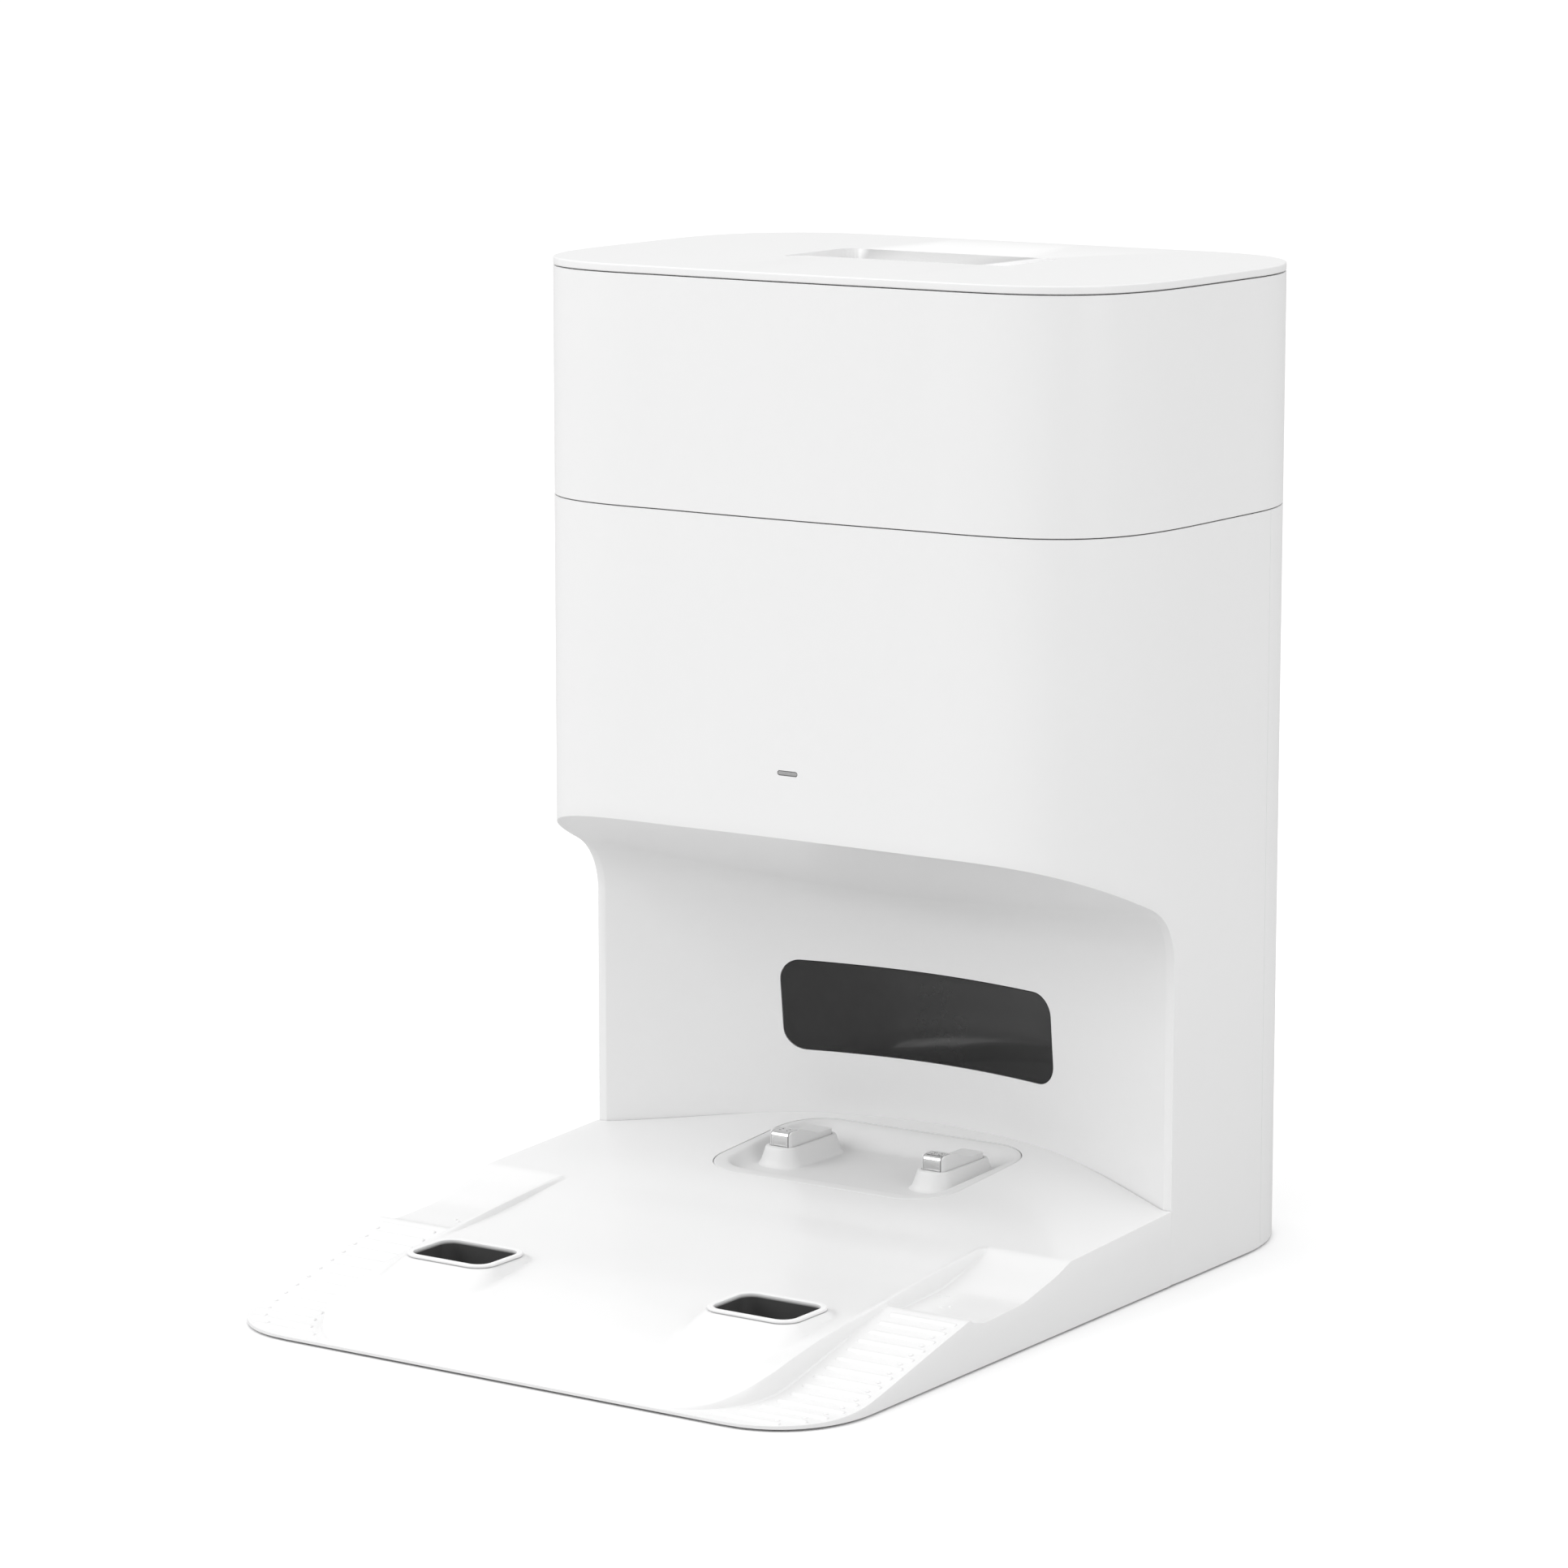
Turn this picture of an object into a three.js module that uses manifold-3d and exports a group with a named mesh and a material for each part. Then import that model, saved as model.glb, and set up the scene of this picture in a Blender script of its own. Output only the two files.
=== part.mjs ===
// Self-emptying base station of a robot vacuum.
// Millimetres, +Z up, the front faces -Y. The origin is on the floor, under the middle of the whole object.
import * as THREE from "three";
import { mergeVertices } from "three/addons/utils/BufferGeometryUtils.js";
import Module from "manifold-3d";

const wasm = await Module();
wasm.setup();

// ---------------------------------------------------------------- driving dimensions

// Overall size, with the hinge barrels behind the body.
const width = 340;
const depth = 466;
const height = 485.3;
const hingeReach = 3;

// The body: a tall tower at the back of the ramp.
const bodyDepth = 228.5;
const frontBow = 1.2;
const frontCorner = { x: 98, y: 109, power: 3.5, steps: 8 };
const rearCorner = { x: 75, y: 78, power: 2.3, steps: 6 };
const shellWall = 3;
const lidEdge = 3.9;
const upperHeight = 113.3;
const seam = 0.5;
const fitGap = 0.35;

// The docking cavity, cut into the front of the lower housing.
const cheekFront = 150;
const cheekWidth = 5;
const cavityDepth = 57;
const cavityPower = 1.9;
const cavityLean = 18;
const wallFootZ = 38;
const wallTopZ = 160;
const lipZ = 214;
const ceilingAngle = THREE.MathUtils.degToRad(23.5);
const ceilingFillet = 32;

// The base plate. Heights are along its length, measured back from its front edge.
const footDrop = 1.2;
const plateCorner = { x: 47, y: 52, power: 2.2, steps: 8 };
const plateSkin = 3;
const trackHeights = [
  [0, 2.6], [24, 3.3], [40, 4.9], [54, 7.6], [80, 13.6], [100, 18.3], [132, 25.3],
  [138, 23], [145, 21.6], [162, 22.2], [176, 23], [191, 26], [206, 29.4], [219, 33.7],
];
const padHeights = [
  [0, 2.6], [4, 3.6], [12, 5.6], [22, 9], [35, 13.5], [52, 17.5], [67, 20], [82, 22.3],
  [112, 25], [128, 25.6], [154, 26.9], [181, 29.3], [200, 31.6], [219, 33.7],
];
const finHeights = [[108, 24.6], [137, 27.9], [164, 30.6], [192, 33], [214, 34.2], [219, 33.8]];
const deckSlope = 0.044;
const crownHeights = [[219, 0], [256, 3.8], [312, 5.4], [400, 7.8]];
const crownHalf = 76;
const padHalf = 124.6;
const padCorner = { x: 48, y: 50, power: 2.2 };
const finWidth = 3.2;
const ridgePitch = 8.9;
const ridgeHeight = 0.9;
const ridgeStart = 9;
const ridgeEnd = 126;
const ridgeInner = 131;
const ridgeMargin = 4;

// The two suction ports in the ramp.
const portSpacing = 173;
const portFromFront = 90.3;
const portOuter = { x: 50, y: 38, radius: 10 };
const portRim = 3;
const portTop = 28.8;
const rimFlange = 1.5;
const sleeveWall = 1.5;
const skirtFlare = { side: 10, front: 29, rear: 17, down: 13.5 };
const sleeveInner = {
  x: portOuter.x - 2 * portRim,
  y: portOuter.y - 2 * portRim,
  radius: portOuter.radius - portRim,
};

// The charging contacts and the tray they stand in.
const contactSpacing = 90;
const trayHalf = 70;
const trayFront = 57;
const trayRear = 41.5;
const trayCorner = 24;
const trayFloor = 35;
const trayBottom = 32;
const towerWidth = 17;
const towerLength = 46;
const towerRound = 6.5;
const towerFlare = 4;
const towerTop = 44.5;
const blockWidth = 13;
const blockRound = 2.5;
const blockLength = 39;
const blockTop = 52;
const blockRearTop = 47.3;
const stripThickness = 0.6;
const contactBehindCheek = 0.5;
const coil = { turns: 5, radius: 3.3, wire: 0.4 };

// Air path.
const ductWall = 1.8;
const trunkHalf = 34;
const trunkTop = 28.5;
const legTop = 16.4;
const riserHalf = 31;
const riserDepth = 30;
const riserBack = 28;
const riserJointZ = 230;
const inletRadius = 20;
const inletBelowDeck = 57;

// Dust bag bay.
const bayHalf = 116;
const bayFront = 25;
const bayWall = 2;
const bayDepth = 120;
const deckBelowLid = 6.5;
const deckThick = 2.4;

// Fan.
const fanRadius = 63;
const fanHeight = 88;
const impellerClear = 13;
const impellerRadius = fanRadius - impellerClear;
const shaftRadius = 4;
const statorRadius = 29;
const runningGap = 0.6;

// Window, light and electronics.
const windowWidth = 160;
const windowHeight = 47;
const windowCentreZ = 103.5;
const windowRadius = 11;
const windowThick = 2.2;
const lightZ = 246;
const lightWidth = 11;
const lightHeight = 1.8;

// Hinge, switch, fasteners and feet.
const hingeSpacing = 150;
const barrelRadius = 3.2;
const pinRadius = 1.5;
const knuckle = 14;
const recess = { width: 124, depth: 60, radius: 6, deep: 15 };
const screwRadius = 1.5;
const headRadius = 3;
const headHeight = 1.4;
const pilotGap = 0.15;
const holeGap = 0.3;
const headGap = 0.4;
const footRadius = 8;
const footThick = 1.9;
const tabGap = 0.9;

// Places that follow from the sizes above.
const front = -depth / 2;
const back = depth / 2 - hingeReach;
const bodyFront = back - bodyDepth;
const cheekY = back - cheekFront;
const lidSeamZ = height - lidEdge;
const lowerTopZ = lidSeamZ - upperHeight;
const deckZ = lidSeamZ - deckBelowLid;
const halfWidth = width / 2;
const coverSeamY = back - 61.4;
const chassisY = coverSeamY - 5.5;
const riserY = back - riserBack - riserDepth / 2;
const bayBack = bodyFront + bayFront + 138;
const bayMidY = (bodyFront + bayFront + bayBack) / 2;
const inletZ = deckZ - inletBelowDeck;
const bayFloorZ = deckZ - bayDepth;
const fanTopZ = bayFloorZ - 4;
const fanY = bodyFront + 90;
const contactY = cheekY + contactBehindCheek;
const coverTop = footDrop + 2;
const floorTop = footDrop + 2.4;
const boardY = cheekY + cavityDepth + 2;
const boardThick = 1.6;
const lightBoardY = bodyFront + 7.4;
const frontFootPlaces = [-1, 1].map((side) => [side * (halfWidth - 40), front + 62]);
const rearFootPlaces = [-1, 1].map((side) => [side * (halfWidth - 46), back - 34]);
const coverEndY = cheekY - 58.4;

// ---------------------------------------------------------------- solids

function solidOf(geometry) {
  const loose = geometry.index ? geometry.toNonIndexed() : geometry;
  const bare = new THREE.BufferGeometry();
  bare.setAttribute("position", loose.getAttribute("position"));
  const merged = mergeVertices(bare, 1e-4);
  return new wasm.Manifold(
    new wasm.Mesh({
      numProp: 3,
      vertProperties: new Float32Array(merged.attributes.position.array),
      triVerts: new Uint32Array(merged.index.array),
    }),
  );
}

function geometryOf(solid) {
  const mesh = solid.getMesh();
  const positions = new Float32Array(mesh.numVert * 3);
  for (let i = 0; i < mesh.numVert; i++) {
    positions.set(mesh.vertProperties.subarray(i * mesh.numProp, i * mesh.numProp + 3), i * 3);
  }
  const geometry = new THREE.BufferGeometry();
  geometry.setAttribute("position", new THREE.BufferAttribute(positions, 3));
  geometry.setIndex(new THREE.BufferAttribute(new Uint32Array(mesh.triVerts), 1));
  geometry.computeVertexNormals();
  return geometry;
}

const join = (...solids) => solids.reduce((all, solid) => all.add(solid));
const cut = (solid, ...tools) => tools.reduce((left, tool) => left.subtract(tool), solid);
const common = (...solids) => solids.reduce((all, solid) => all.intersect(solid));

function box([x0, x1], [y0, y1], [z0, z1]) {
  const geometry = new THREE.BoxGeometry(x1 - x0, y1 - y0, z1 - z0);
  geometry.translate((x0 + x1) / 2, (y0 + y1) / 2, (z0 + z1) / 2);
  return solidOf(geometry);
}

// Extrudes an outline in the XY plane along Z.
function prism(points, z0, z1) {
  const geometry = new THREE.ExtrudeGeometry(new THREE.Shape(points), {
    depth: z1 - z0,
    bevelEnabled: false,
  });
  geometry.translate(0, 0, z0);
  return solidOf(geometry);
}

// Extrudes an outline given as (y, z) along X.
function prismX(points, x0, x1) {
  const geometry = new THREE.ExtrudeGeometry(new THREE.Shape(points), {
    depth: x1 - x0,
    bevelEnabled: false,
  });
  geometry.applyMatrix4(new THREE.Matrix4().set(0, 0, 1, x0, 1, 0, 0, 0, 0, 1, 0, 0, 0, 0, 0, 1));
  return solidOf(geometry);
}

// Extrudes an outline given as (x, z) along Y.
function prismY(points, y0, y1) {
  const geometry = new THREE.ExtrudeGeometry(new THREE.Shape(points), {
    depth: y1 - y0,
    bevelEnabled: false,
  });
  geometry.rotateX(Math.PI / 2);
  geometry.translate(0, y1, 0);
  return solidOf(geometry);
}

function cylinder(radius, z0, z1, segments = 24) {
  const geometry = new THREE.CylinderGeometry(radius, radius, z1 - z0, segments);
  geometry.rotateX(Math.PI / 2);
  geometry.translate(0, 0, (z0 + z1) / 2);
  return solidOf(geometry);
}

// A cylinder along Y, and one along X.
const cylinderY = (radius, y0, y1, segments) => cylinder(radius, -y1, -y0, segments).rotate([90, 0, 0]);
const cylinderX = (radius, x0, x1, segments) => cylinder(radius, x0, x1, segments).rotate([0, 90, 0]);

// Joins convex rings that all have the same number of corners into one closed solid.
function loft(rings) {
  const positions = [];
  const count = rings[0].length;
  const triangle = (a, b, c) => positions.push(...a, ...b, ...c);
  for (let r = 0; r + 1 < rings.length; r++) {
    for (let i = 0; i < count; i++) {
      const j = (i + 1) % count;
      triangle(rings[r][i], rings[r][j], rings[r + 1][j]);
      triangle(rings[r][i], rings[r + 1][j], rings[r + 1][i]);
    }
  }
  const middleOf = (ring) => [0, 1, 2].map((k) => ring.reduce((sum, p) => sum + p[k], 0) / count);
  const first = rings[0];
  const last = rings[rings.length - 1];
  for (let i = 0; i < count; i++) {
    const j = (i + 1) % count;
    triangle(middleOf(first), first[j], first[i]);
    triangle(middleOf(last), last[i], last[j]);
  }
  const geometry = new THREE.BufferGeometry();
  geometry.setAttribute("position", new THREE.Float32BufferAttribute(positions, 3));
  return solidOf(geometry);
}

// ---------------------------------------------------------------- outlines

const vector = ([x, y]) => new THREE.Vector2(x, y);

function roundedRectangle(sizeX, sizeY, radius, midX = 0, midY = 0, steps = 4) {
  const points = [];
  const corners = [[1, -1, -90], [1, 1, 0], [-1, 1, 90], [-1, -1, 180]];
  for (const [sx, sy, start] of corners) {
    for (let i = 0; i <= steps; i++) {
      const angle = THREE.MathUtils.degToRad(start + (90 * i) / steps);
      points.push([
        midX + sx * (sizeX / 2 - radius) + radius * Math.cos(angle),
        midY + sy * (sizeY / 2 - radius) + radius * Math.sin(angle),
      ]);
    }
  }
  return points.map(vector);
}

// The rounding of a squarish corner: t runs from 0 on the first side to 1 on the second.
function cornerShare(t, power) {
  const angle = (t * Math.PI) / 2;
  return [Math.sin(angle) ** (2 / power), Math.cos(angle) ** (2 / power)];
}

// A right-hand half outline, from the front middle to the back middle, closed by its mirror image.
function mirrored(half) {
  const left = half.filter(([x]) => x > 1e-6).map(([x, y]) => [-x, y]);
  return [...half, ...left.reverse()].map(vector);
}

// The body in plan, with its skin moved in by inset.
function bodyOutline(inset = 0) {
  const half = halfWidth - inset;
  const half2 = halfWidth - frontCorner.x;
  const points = [0, 0.5, 1].map((t) => [half2 * t, bodyFront + inset + frontBow * t * t]);
  for (let i = 1; i <= frontCorner.steps; i++) {
    const [along, away] = cornerShare(i / frontCorner.steps, frontCorner.power);
    points.push([
      half2 + (half - half2) * along,
      bodyFront + frontBow + frontCorner.y - (frontCorner.y - inset) * away,
    ]);
  }
  for (let i = 0; i <= rearCorner.steps; i++) {
    const [along, away] = cornerShare(i / rearCorner.steps, rearCorner.power);
    points.push([
      halfWidth - rearCorner.x + (rearCorner.x - inset) * away,
      back - rearCorner.y + (rearCorner.y - inset) * along,
    ]);
  }
  points.push([0, back - inset]);
  return mirrored(points);
}

const bodyPrism = (inset, z0, z1) => prism(bodyOutline(inset), z0, z1);

// How far back the cavity's wall stands at x, as a share of its full depth.
function cavityBow(x) {
  const share = Math.min(1, Math.abs(x) / (halfWidth - cheekWidth));
  return 1 - share ** cavityPower;
}

// The arc that rounds a corner between two straight lines.
function filletArc(before, corner, after, radius, steps) {
  const c = vector(corner);
  const a = vector(before).sub(c).normalize();
  const b = vector(after).sub(c).normalize();
  const half = Math.acos(a.dot(b)) / 2;
  const middle = a.clone().add(b).normalize().multiplyScalar(radius / Math.sin(half)).add(c);
  const start = a.multiplyScalar(radius / Math.tan(half)).add(c).sub(middle);
  const sweep = Math.PI - 2 * half;
  const points = [];
  for (let i = 0; i <= steps; i++) {
    const turned = start.clone().rotateAround(new THREE.Vector2(), (sweep * i) / steps);
    points.push([turned.x + middle.x, turned.y + middle.y]);
  }
  return points;
}

// The docking cavity as a solid. A skin above 0 makes it that much deeper and taller.
function cavity(skin = 0) {
  const ceiling = (y) => lipZ + skin * 1.1 - Math.tan(ceilingAngle) * (y - bodyFront);
  const farY = front - 40;
  const lowZ = -10;
  const section = (x) => {
    const bow = cavityBow(x);
    const footY = cheekY + skin + cavityDepth * bow;
    const lean = (cavityLean * bow) / (wallTopZ - wallFootZ);
    const wallY = (z) => footY - lean * (z - wallFootZ);
    const slope = Math.tan(ceilingAngle);
    const topZ = (lipZ + skin * 1.1 - slope * (footY + lean * wallFootZ - bodyFront)) / (1 - slope * lean);
    const corner = [wallY(topZ), topZ];
    const low = [wallY(lowZ), lowZ];
    const far = [farY, ceiling(farY)];
    return [
      [farY, lowZ],
      low,
      ...filletArc(low, corner, far, ceilingFillet - skin, 6),
      far,
    ].map(([y, z]) => [x, y, z]);
  };
  const side = halfWidth - cheekWidth;
  const steps = 14;
  const stations = [-halfWidth - 20];
  for (let i = 0; i <= steps; i++) {
    stations.push(-side + (2 * side * i) / steps);
  }
  stations.push(halfWidth + 20);
  return loft(stations.map(section));
}

// ---------------------------------------------------------------- the base plate's surfaces

const fromFront = ([s, z]) => [front + s, z];

// Height of a profile at s behind the front edge.
function heightAt(profile, s) {
  for (let i = 1; i < profile.length; i++) {
    const [s0, z0] = profile[i - 1];
    const [s1, z1] = profile[i];
    if (s <= s1) {
      return z0 + ((z1 - z0) * (s - s0)) / (s1 - s0);
    }
  }
  return profile[profile.length - 1][1];
}

const deckStart = trackHeights[trackHeights.length - 1][0];
const deckEndY = cheekY + cavityDepth + 5;

function deckHeight(y) {
  return trackHeights[trackHeights.length - 1][1] + deckSlope * (y - front - deckStart);
}

const crownAt = (y) => heightAt(crownHeights, y - front);

// Height of the deck's top face, crown included.
function deckTopAt(x, y) {
  const share = Math.min(1, (halfWidth - Math.abs(x)) / (halfWidth - crownHalf));
  return deckHeight(y) + crownAt(y) * share;
}

// Everything under a lengthwise profile, from the plate's bottom.
function underProfile(profile, x0, x1) {
  const points = profile.map(fromFront);
  const lastY = points[points.length - 1][0];
  return prismX([[front, footDrop], ...points, [lastY, footDrop]].map(vector).reverse(), x0, x1);
}

// The plate in plan: rounded front corners, straight sides, and a tongue that fills the cavity's foot.
function plateOutline(inset, rearGap) {
  const half = halfWidth - inset;
  const points = [[0, front + inset]];
  for (let i = 0; i <= plateCorner.steps; i++) {
    const [along, away] = cornerShare(i / plateCorner.steps, plateCorner.power);
    points.push([
      halfWidth - plateCorner.x + (plateCorner.x - inset) * along,
      front + plateCorner.y - (plateCorner.y - inset) * away,
    ]);
  }
  const side = halfWidth - cheekWidth;
  points.push([half, cheekY - rearGap]);
  const steps = 7;
  for (let i = 0; i < steps; i++) {
    const x = side * (1 - i / steps) - (i === 0 ? rearGap + 0.4 : 0);
    points.push([x, cheekY - rearGap - 0.6 + cavityDepth * cavityBow(x)]);
  }
  points.push([0, cheekY - rearGap - 0.6 + cavityDepth]);
  return mirrored(points);
}

// The raised middle of the plate in plan.
function padOutline(inset) {
  const points = [[0, front + inset]];
  const steps = 8;
  for (let i = 0; i <= steps; i++) {
    const [along, away] = cornerShare(i / steps, padCorner.power);
    points.push([
      padHalf - padCorner.x + (padCorner.x - inset) * along,
      front + padCorner.y - (padCorner.y - inset) * away,
    ]);
  }
  points.push([padHalf - inset, front + deckStart + 5]);
  points.push([0, front + deckStart + 5]);
  return mirrored(points);
}

// The flat rear of the plate, which rises a little towards its middle.
function deckBlank() {
  const y0 = front + deckStart;
  const section = (y) => {
    const z = deckHeight(y);
    const crown = crownAt(y);
    return [
      [-halfWidth, y, footDrop],
      [halfWidth, y, footDrop],
      [halfWidth, y, z],
      [crownHalf, y, z + crown],
      [-crownHalf, y, z + crown],
      [-halfWidth, y, z],
    ];
  };
  const inner = crownHeights.map(([s]) => front + s).filter((y) => y > y0 + 1 && y < deckEndY);
  return loft([y0 + 0.01, ...inner, deckEndY].map((y) => section(y).reverse()));
}

// The plate's full height, with the raised middle drawn in by inset.
function plateBlank(inset = 0) {
  return join(
    underProfile([...trackHeights, [deckStart + 0.5, trackHeights[trackHeights.length - 1][1]]],
      -halfWidth, halfWidth),
    common(
      underProfile([...padHeights, [deckStart + 0.5, padHeights[padHeights.length - 1][1]]],
        -padHalf, padHalf),
      prism(padOutline(inset), 0, 60),
    ),
    deckBlank(),
  );
}

const portCentres = [-1, 1].map((side) => [(side * portSpacing) / 2, front + portFromFront]);

// The flared skirt round one port, up to the underside of its rim.
function portSkirt([x, y]) {
  const top = roundedRectangle(portOuter.x, portOuter.y, portOuter.radius, x, y);
  const wide = roundedRectangle(
    portOuter.x + 2 * skirtFlare.side,
    portOuter.y + skirtFlare.front + skirtFlare.rear,
    portOuter.radius + skirtFlare.side,
    x,
    y + (skirtFlare.rear - skirtFlare.front) / 2,
  );
  const flangeZ = portTop - rimFlange - 0.1;
  const lift = (points, z) => points.map((p) => [p.x, p.y, z]);
  return loft([lift(wide, flangeZ - skirtFlare.down), lift(top, flangeZ)]);
}

function ridges() {
  const made = [];
  for (let s = ridgeStart; s < ridgeEnd; s += ridgePitch) {
    const z = heightAt(trackHeights, s);
    const outline = [
      [front + s - 1.2, z - 1.2],
      [front + s + 1.8, z - 0.6],
      [front + s + 0.3, z + ridgeHeight],
    ].map(vector);
    for (const side of [-1, 1]) {
      const ends = [side * ridgeInner, side * (halfWidth - ridgeMargin)].sort((a, b) => a - b);
      made.push(prismX(outline, ends[0], ends[1]));
    }
  }
  return common(join(...made), prism(plateOutline(ridgeMargin, 1), 0, 60));
}

function trayOutline(clearance = 0) {
  const y0 = cheekY - trayFront - clearance;
  const y1 = cheekY + trayRear + clearance;
  return roundedRectangle(
    2 * (trayHalf + clearance),
    y1 - y0,
    trayCorner,
    0,
    (y0 + y1) / 2,
    6,
  );
}

const screwSpots = [[-1, 1], [1, 1], [-1, -1], [1, -1]];
const plateScrewX = 112;
const plateScrewY = cheekY - 26;
const plateScrewStep = 44;
const plateScrewPlaces = screwSpots.map(([sx, sy]) => [
  sx * plateScrewX,
  plateScrewY + (sy * plateScrewStep) / 2,
]);

function basePlate() {
  const blank = plateBlank();
  const outline = common(prism(plateOutline(0, -1.5), footDrop, 60), cavity(-fitGap));
  const hollow = common(
    plateBlank(plateSkin).translate([0, 0, -plateSkin]),
    prism(plateOutline(plateSkin, seam + plateSkin), -5, 60),
  );
  const fins = [-1, 1].map((side) => {
    const ends = [side * (padHalf - finWidth), side * padHalf].sort((a, b) => a - b);
    const points = [[finHeights[0][0], 18], ...finHeights, [finHeights[finHeights.length - 1][0], 18]];
    return prismX(points.map(fromFront).map(vector).reverse(), ends[0], ends[1]);
  });
  const bosses = plateScrewPlaces.map(([x, y]) =>
    cylinder(4.5, floorTop + 0.3, deckTopAt(x, y) - plateSkin / 2, 12).translate([x, y, 0]));
  const pilots = plateScrewPlaces.map(([x, y]) =>
    cylinder(screwRadius + 0.15, 0, deckHeight(y) - 8, 8).translate([x, y, 0]));
  const sleeves = portCentres.map(([x, y]) =>
    prism(roundedRectangle(
      portOuter.x - 2 * portRim + 2 * sleeveWall + 0.7,
      portOuter.y - 2 * portRim + 2 * sleeveWall + 0.7,
      portOuter.radius - portRim + sleeveWall, x, y), 5, 60));
  const tray = prism(trayOutline(fitGap), trayBottom - 1.4, 70);
  const trayRing = common(
    prism(trayOutline(4), trayBottom - 4.4, 36),
    blank.translate([0, 0, -1]),
  );
  const trayHole = prism(trayOutline(-4), 0, 70);
  const ductMouth = box([-trunkHalf - 1, trunkHalf + 1], [cheekY, deckEndY], [0, trunkTop + 1]);
  const shell = join(
    cut(common(join(blank, ...fins, ridges()), outline), hollow),
    common(join(...portCentres.map(portSkirt)), outline, join(blank, box(
      [-halfWidth, halfWidth], [front, front + deckStart], [12, 60]))),
    trayRing,
    ...bosses,
  );
  return cut(shell, ...sleeves, tray, trayHole, ductMouth, ductBody(-fitGap), ...pilots);
}

// ---------------------------------------------------------------- scene graph

const root = new THREE.Group();

const looks = {
  whiteShell: { color: 0xf1f1ef, roughness: 0.42, metalness: 0 },
  whiteSatin: { color: 0xe6e6e4, roughness: 0.5, metalness: 0 },
  darkGloss: { color: 0x141416, roughness: 0.12, metalness: 0 },
  greyPlastic: { color: 0x9a9b9d, roughness: 0.55, metalness: 0 },
  blackPlastic: { color: 0x1d1d1f, roughness: 0.5, metalness: 0 },
  rubber: { color: 0x3a3a3c, roughness: 0.85, metalness: 0 },
  softWhite: { color: 0xdcdcda, roughness: 0.7, metalness: 0 },
  nickel: { color: 0xc9c9c6, roughness: 0.22, metalness: 1 },
  steel: { color: 0xb4b6b8, roughness: 0.35, metalness: 1 },
  board: { color: 0x1f5a3a, roughness: 0.5, metalness: 0 },
  paper: { color: 0xe4ddcc, roughness: 0.9, metalness: 0 },
  foam: { color: 0x3b3f44, roughness: 0.95, metalness: 0 },
  lamp: { color: 0xd8ecff, roughness: 0.2, metalness: 0 },
};

function add(name, solid, look, parent = root) {
  const mesh = new THREE.Mesh(geometryOf(solid), new THREE.MeshStandardMaterial(looks[look]));
  mesh.name = name;
  parent.add(mesh);
  return mesh;
}

function place(x, y, z, parent = root) {
  const group = new THREE.Group();
  group.position.set(x, y, z);
  parent.add(group);
  return group;
}

// ---------------------------------------------------------------- ramp and ducts

add("base_plate", basePlate(), "whiteShell");

const footPocket = ([x, y]) => cylinder(footRadius + fitGap, 0, footDrop + 1, 20).translate([x, y, 0]);

// Closes the ramp from below and carries its front feet.
const bottomCover = cut(
  common(
    prism(plateOutline(plateSkin + fitGap, 0), footDrop + 0.2, coverTop),
    box([-halfWidth, halfWidth], [front + 50, coverEndY], [0, 10]),
  ),
  ...frontFootPlaces.map(footPocket),
);
add("ramp_bottom_cover", bottomCover, "greyPlastic");

// Y-shaped duct under the ramp, from both ports to the foot of the riser.
function ductBody(inset) {
  const [x, y] = portCentres[1];
  const endY = riserY + riserDepth / 2 - inset;
  const outline = mirrored([
    [0, y + 70 + 2 * inset],
    [x - portOuter.x / 2 + inset, y - portOuter.y / 2 + 1 + inset],
    [x + portOuter.x / 2 - inset, y - portOuter.y / 2 + 1 + inset],
    [x + portOuter.x / 2 - inset, y + portOuter.y / 2 - inset],
    [trunkHalf - inset, y + 118],
    [trunkHalf - inset, endY],
    [0, endY],
  ]);
  const low = floorTop + 0.3 + inset;
  const top = [
    [front + 60, legTop], [front + 112, legTop], [front + 130, 20], [front + 160, 22.4],
    [front + 222, trunkTop], [riserY + riserDepth, trunkTop],
  ].map(([along, z]) => [along, z - inset]);
  return common(
    prism(outline, 0, 60),
    prismX([[front + 60, low], ...top, [riserY + riserDepth, low]].map(vector), -halfWidth, halfWidth),
  );
}
const portHoles = portCentres.map(([x, y]) =>
  prism(
    roundedRectangle(sleeveInner.x - 2, sleeveInner.y - 3, sleeveInner.radius, x, y + 0.5),
    coverTop + 5, 60,
  ));
const riserMouth = box(
  [ductWall - riserHalf, riserHalf - ductWall],
  [riserY - riserDepth / 2 + ductWall, riserY + riserDepth / 2 - ductWall],
  [trunkTop - 6, 60],
);
add("floor_duct", cut(ductBody(0), ductBody(ductWall), ...portHoles, riserMouth), "greyPlastic");

// Soft sleeves that line the ports and end in the rims the robot's bin seals against.
function portSleeve() {
  const flange = prism(
    roundedRectangle(portOuter.x, portOuter.y, portOuter.radius, 0, 0, 6), portTop - rimFlange, portTop);
  const sleeve = prism(roundedRectangle(
    sleeveInner.x + 2 * sleeveWall, sleeveInner.y + 2 * sleeveWall, sleeveInner.radius + sleeveWall, 0, 0, 6),
    legTop + 0.3, portTop - 0.5);
  const bore = prism(roundedRectangle(sleeveInner.x, sleeveInner.y, sleeveInner.radius, 0, 0, 6), 0, 60);
  return cut(join(flange, sleeve), bore);
}
for (const [index, [x, y]] of portCentres.entries()) {
  const name = index === 0 ? "port_sleeve_left" : "port_sleeve_right";
  add(name, portSleeve(), "softWhite", place(x, y, 0));
}

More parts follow.
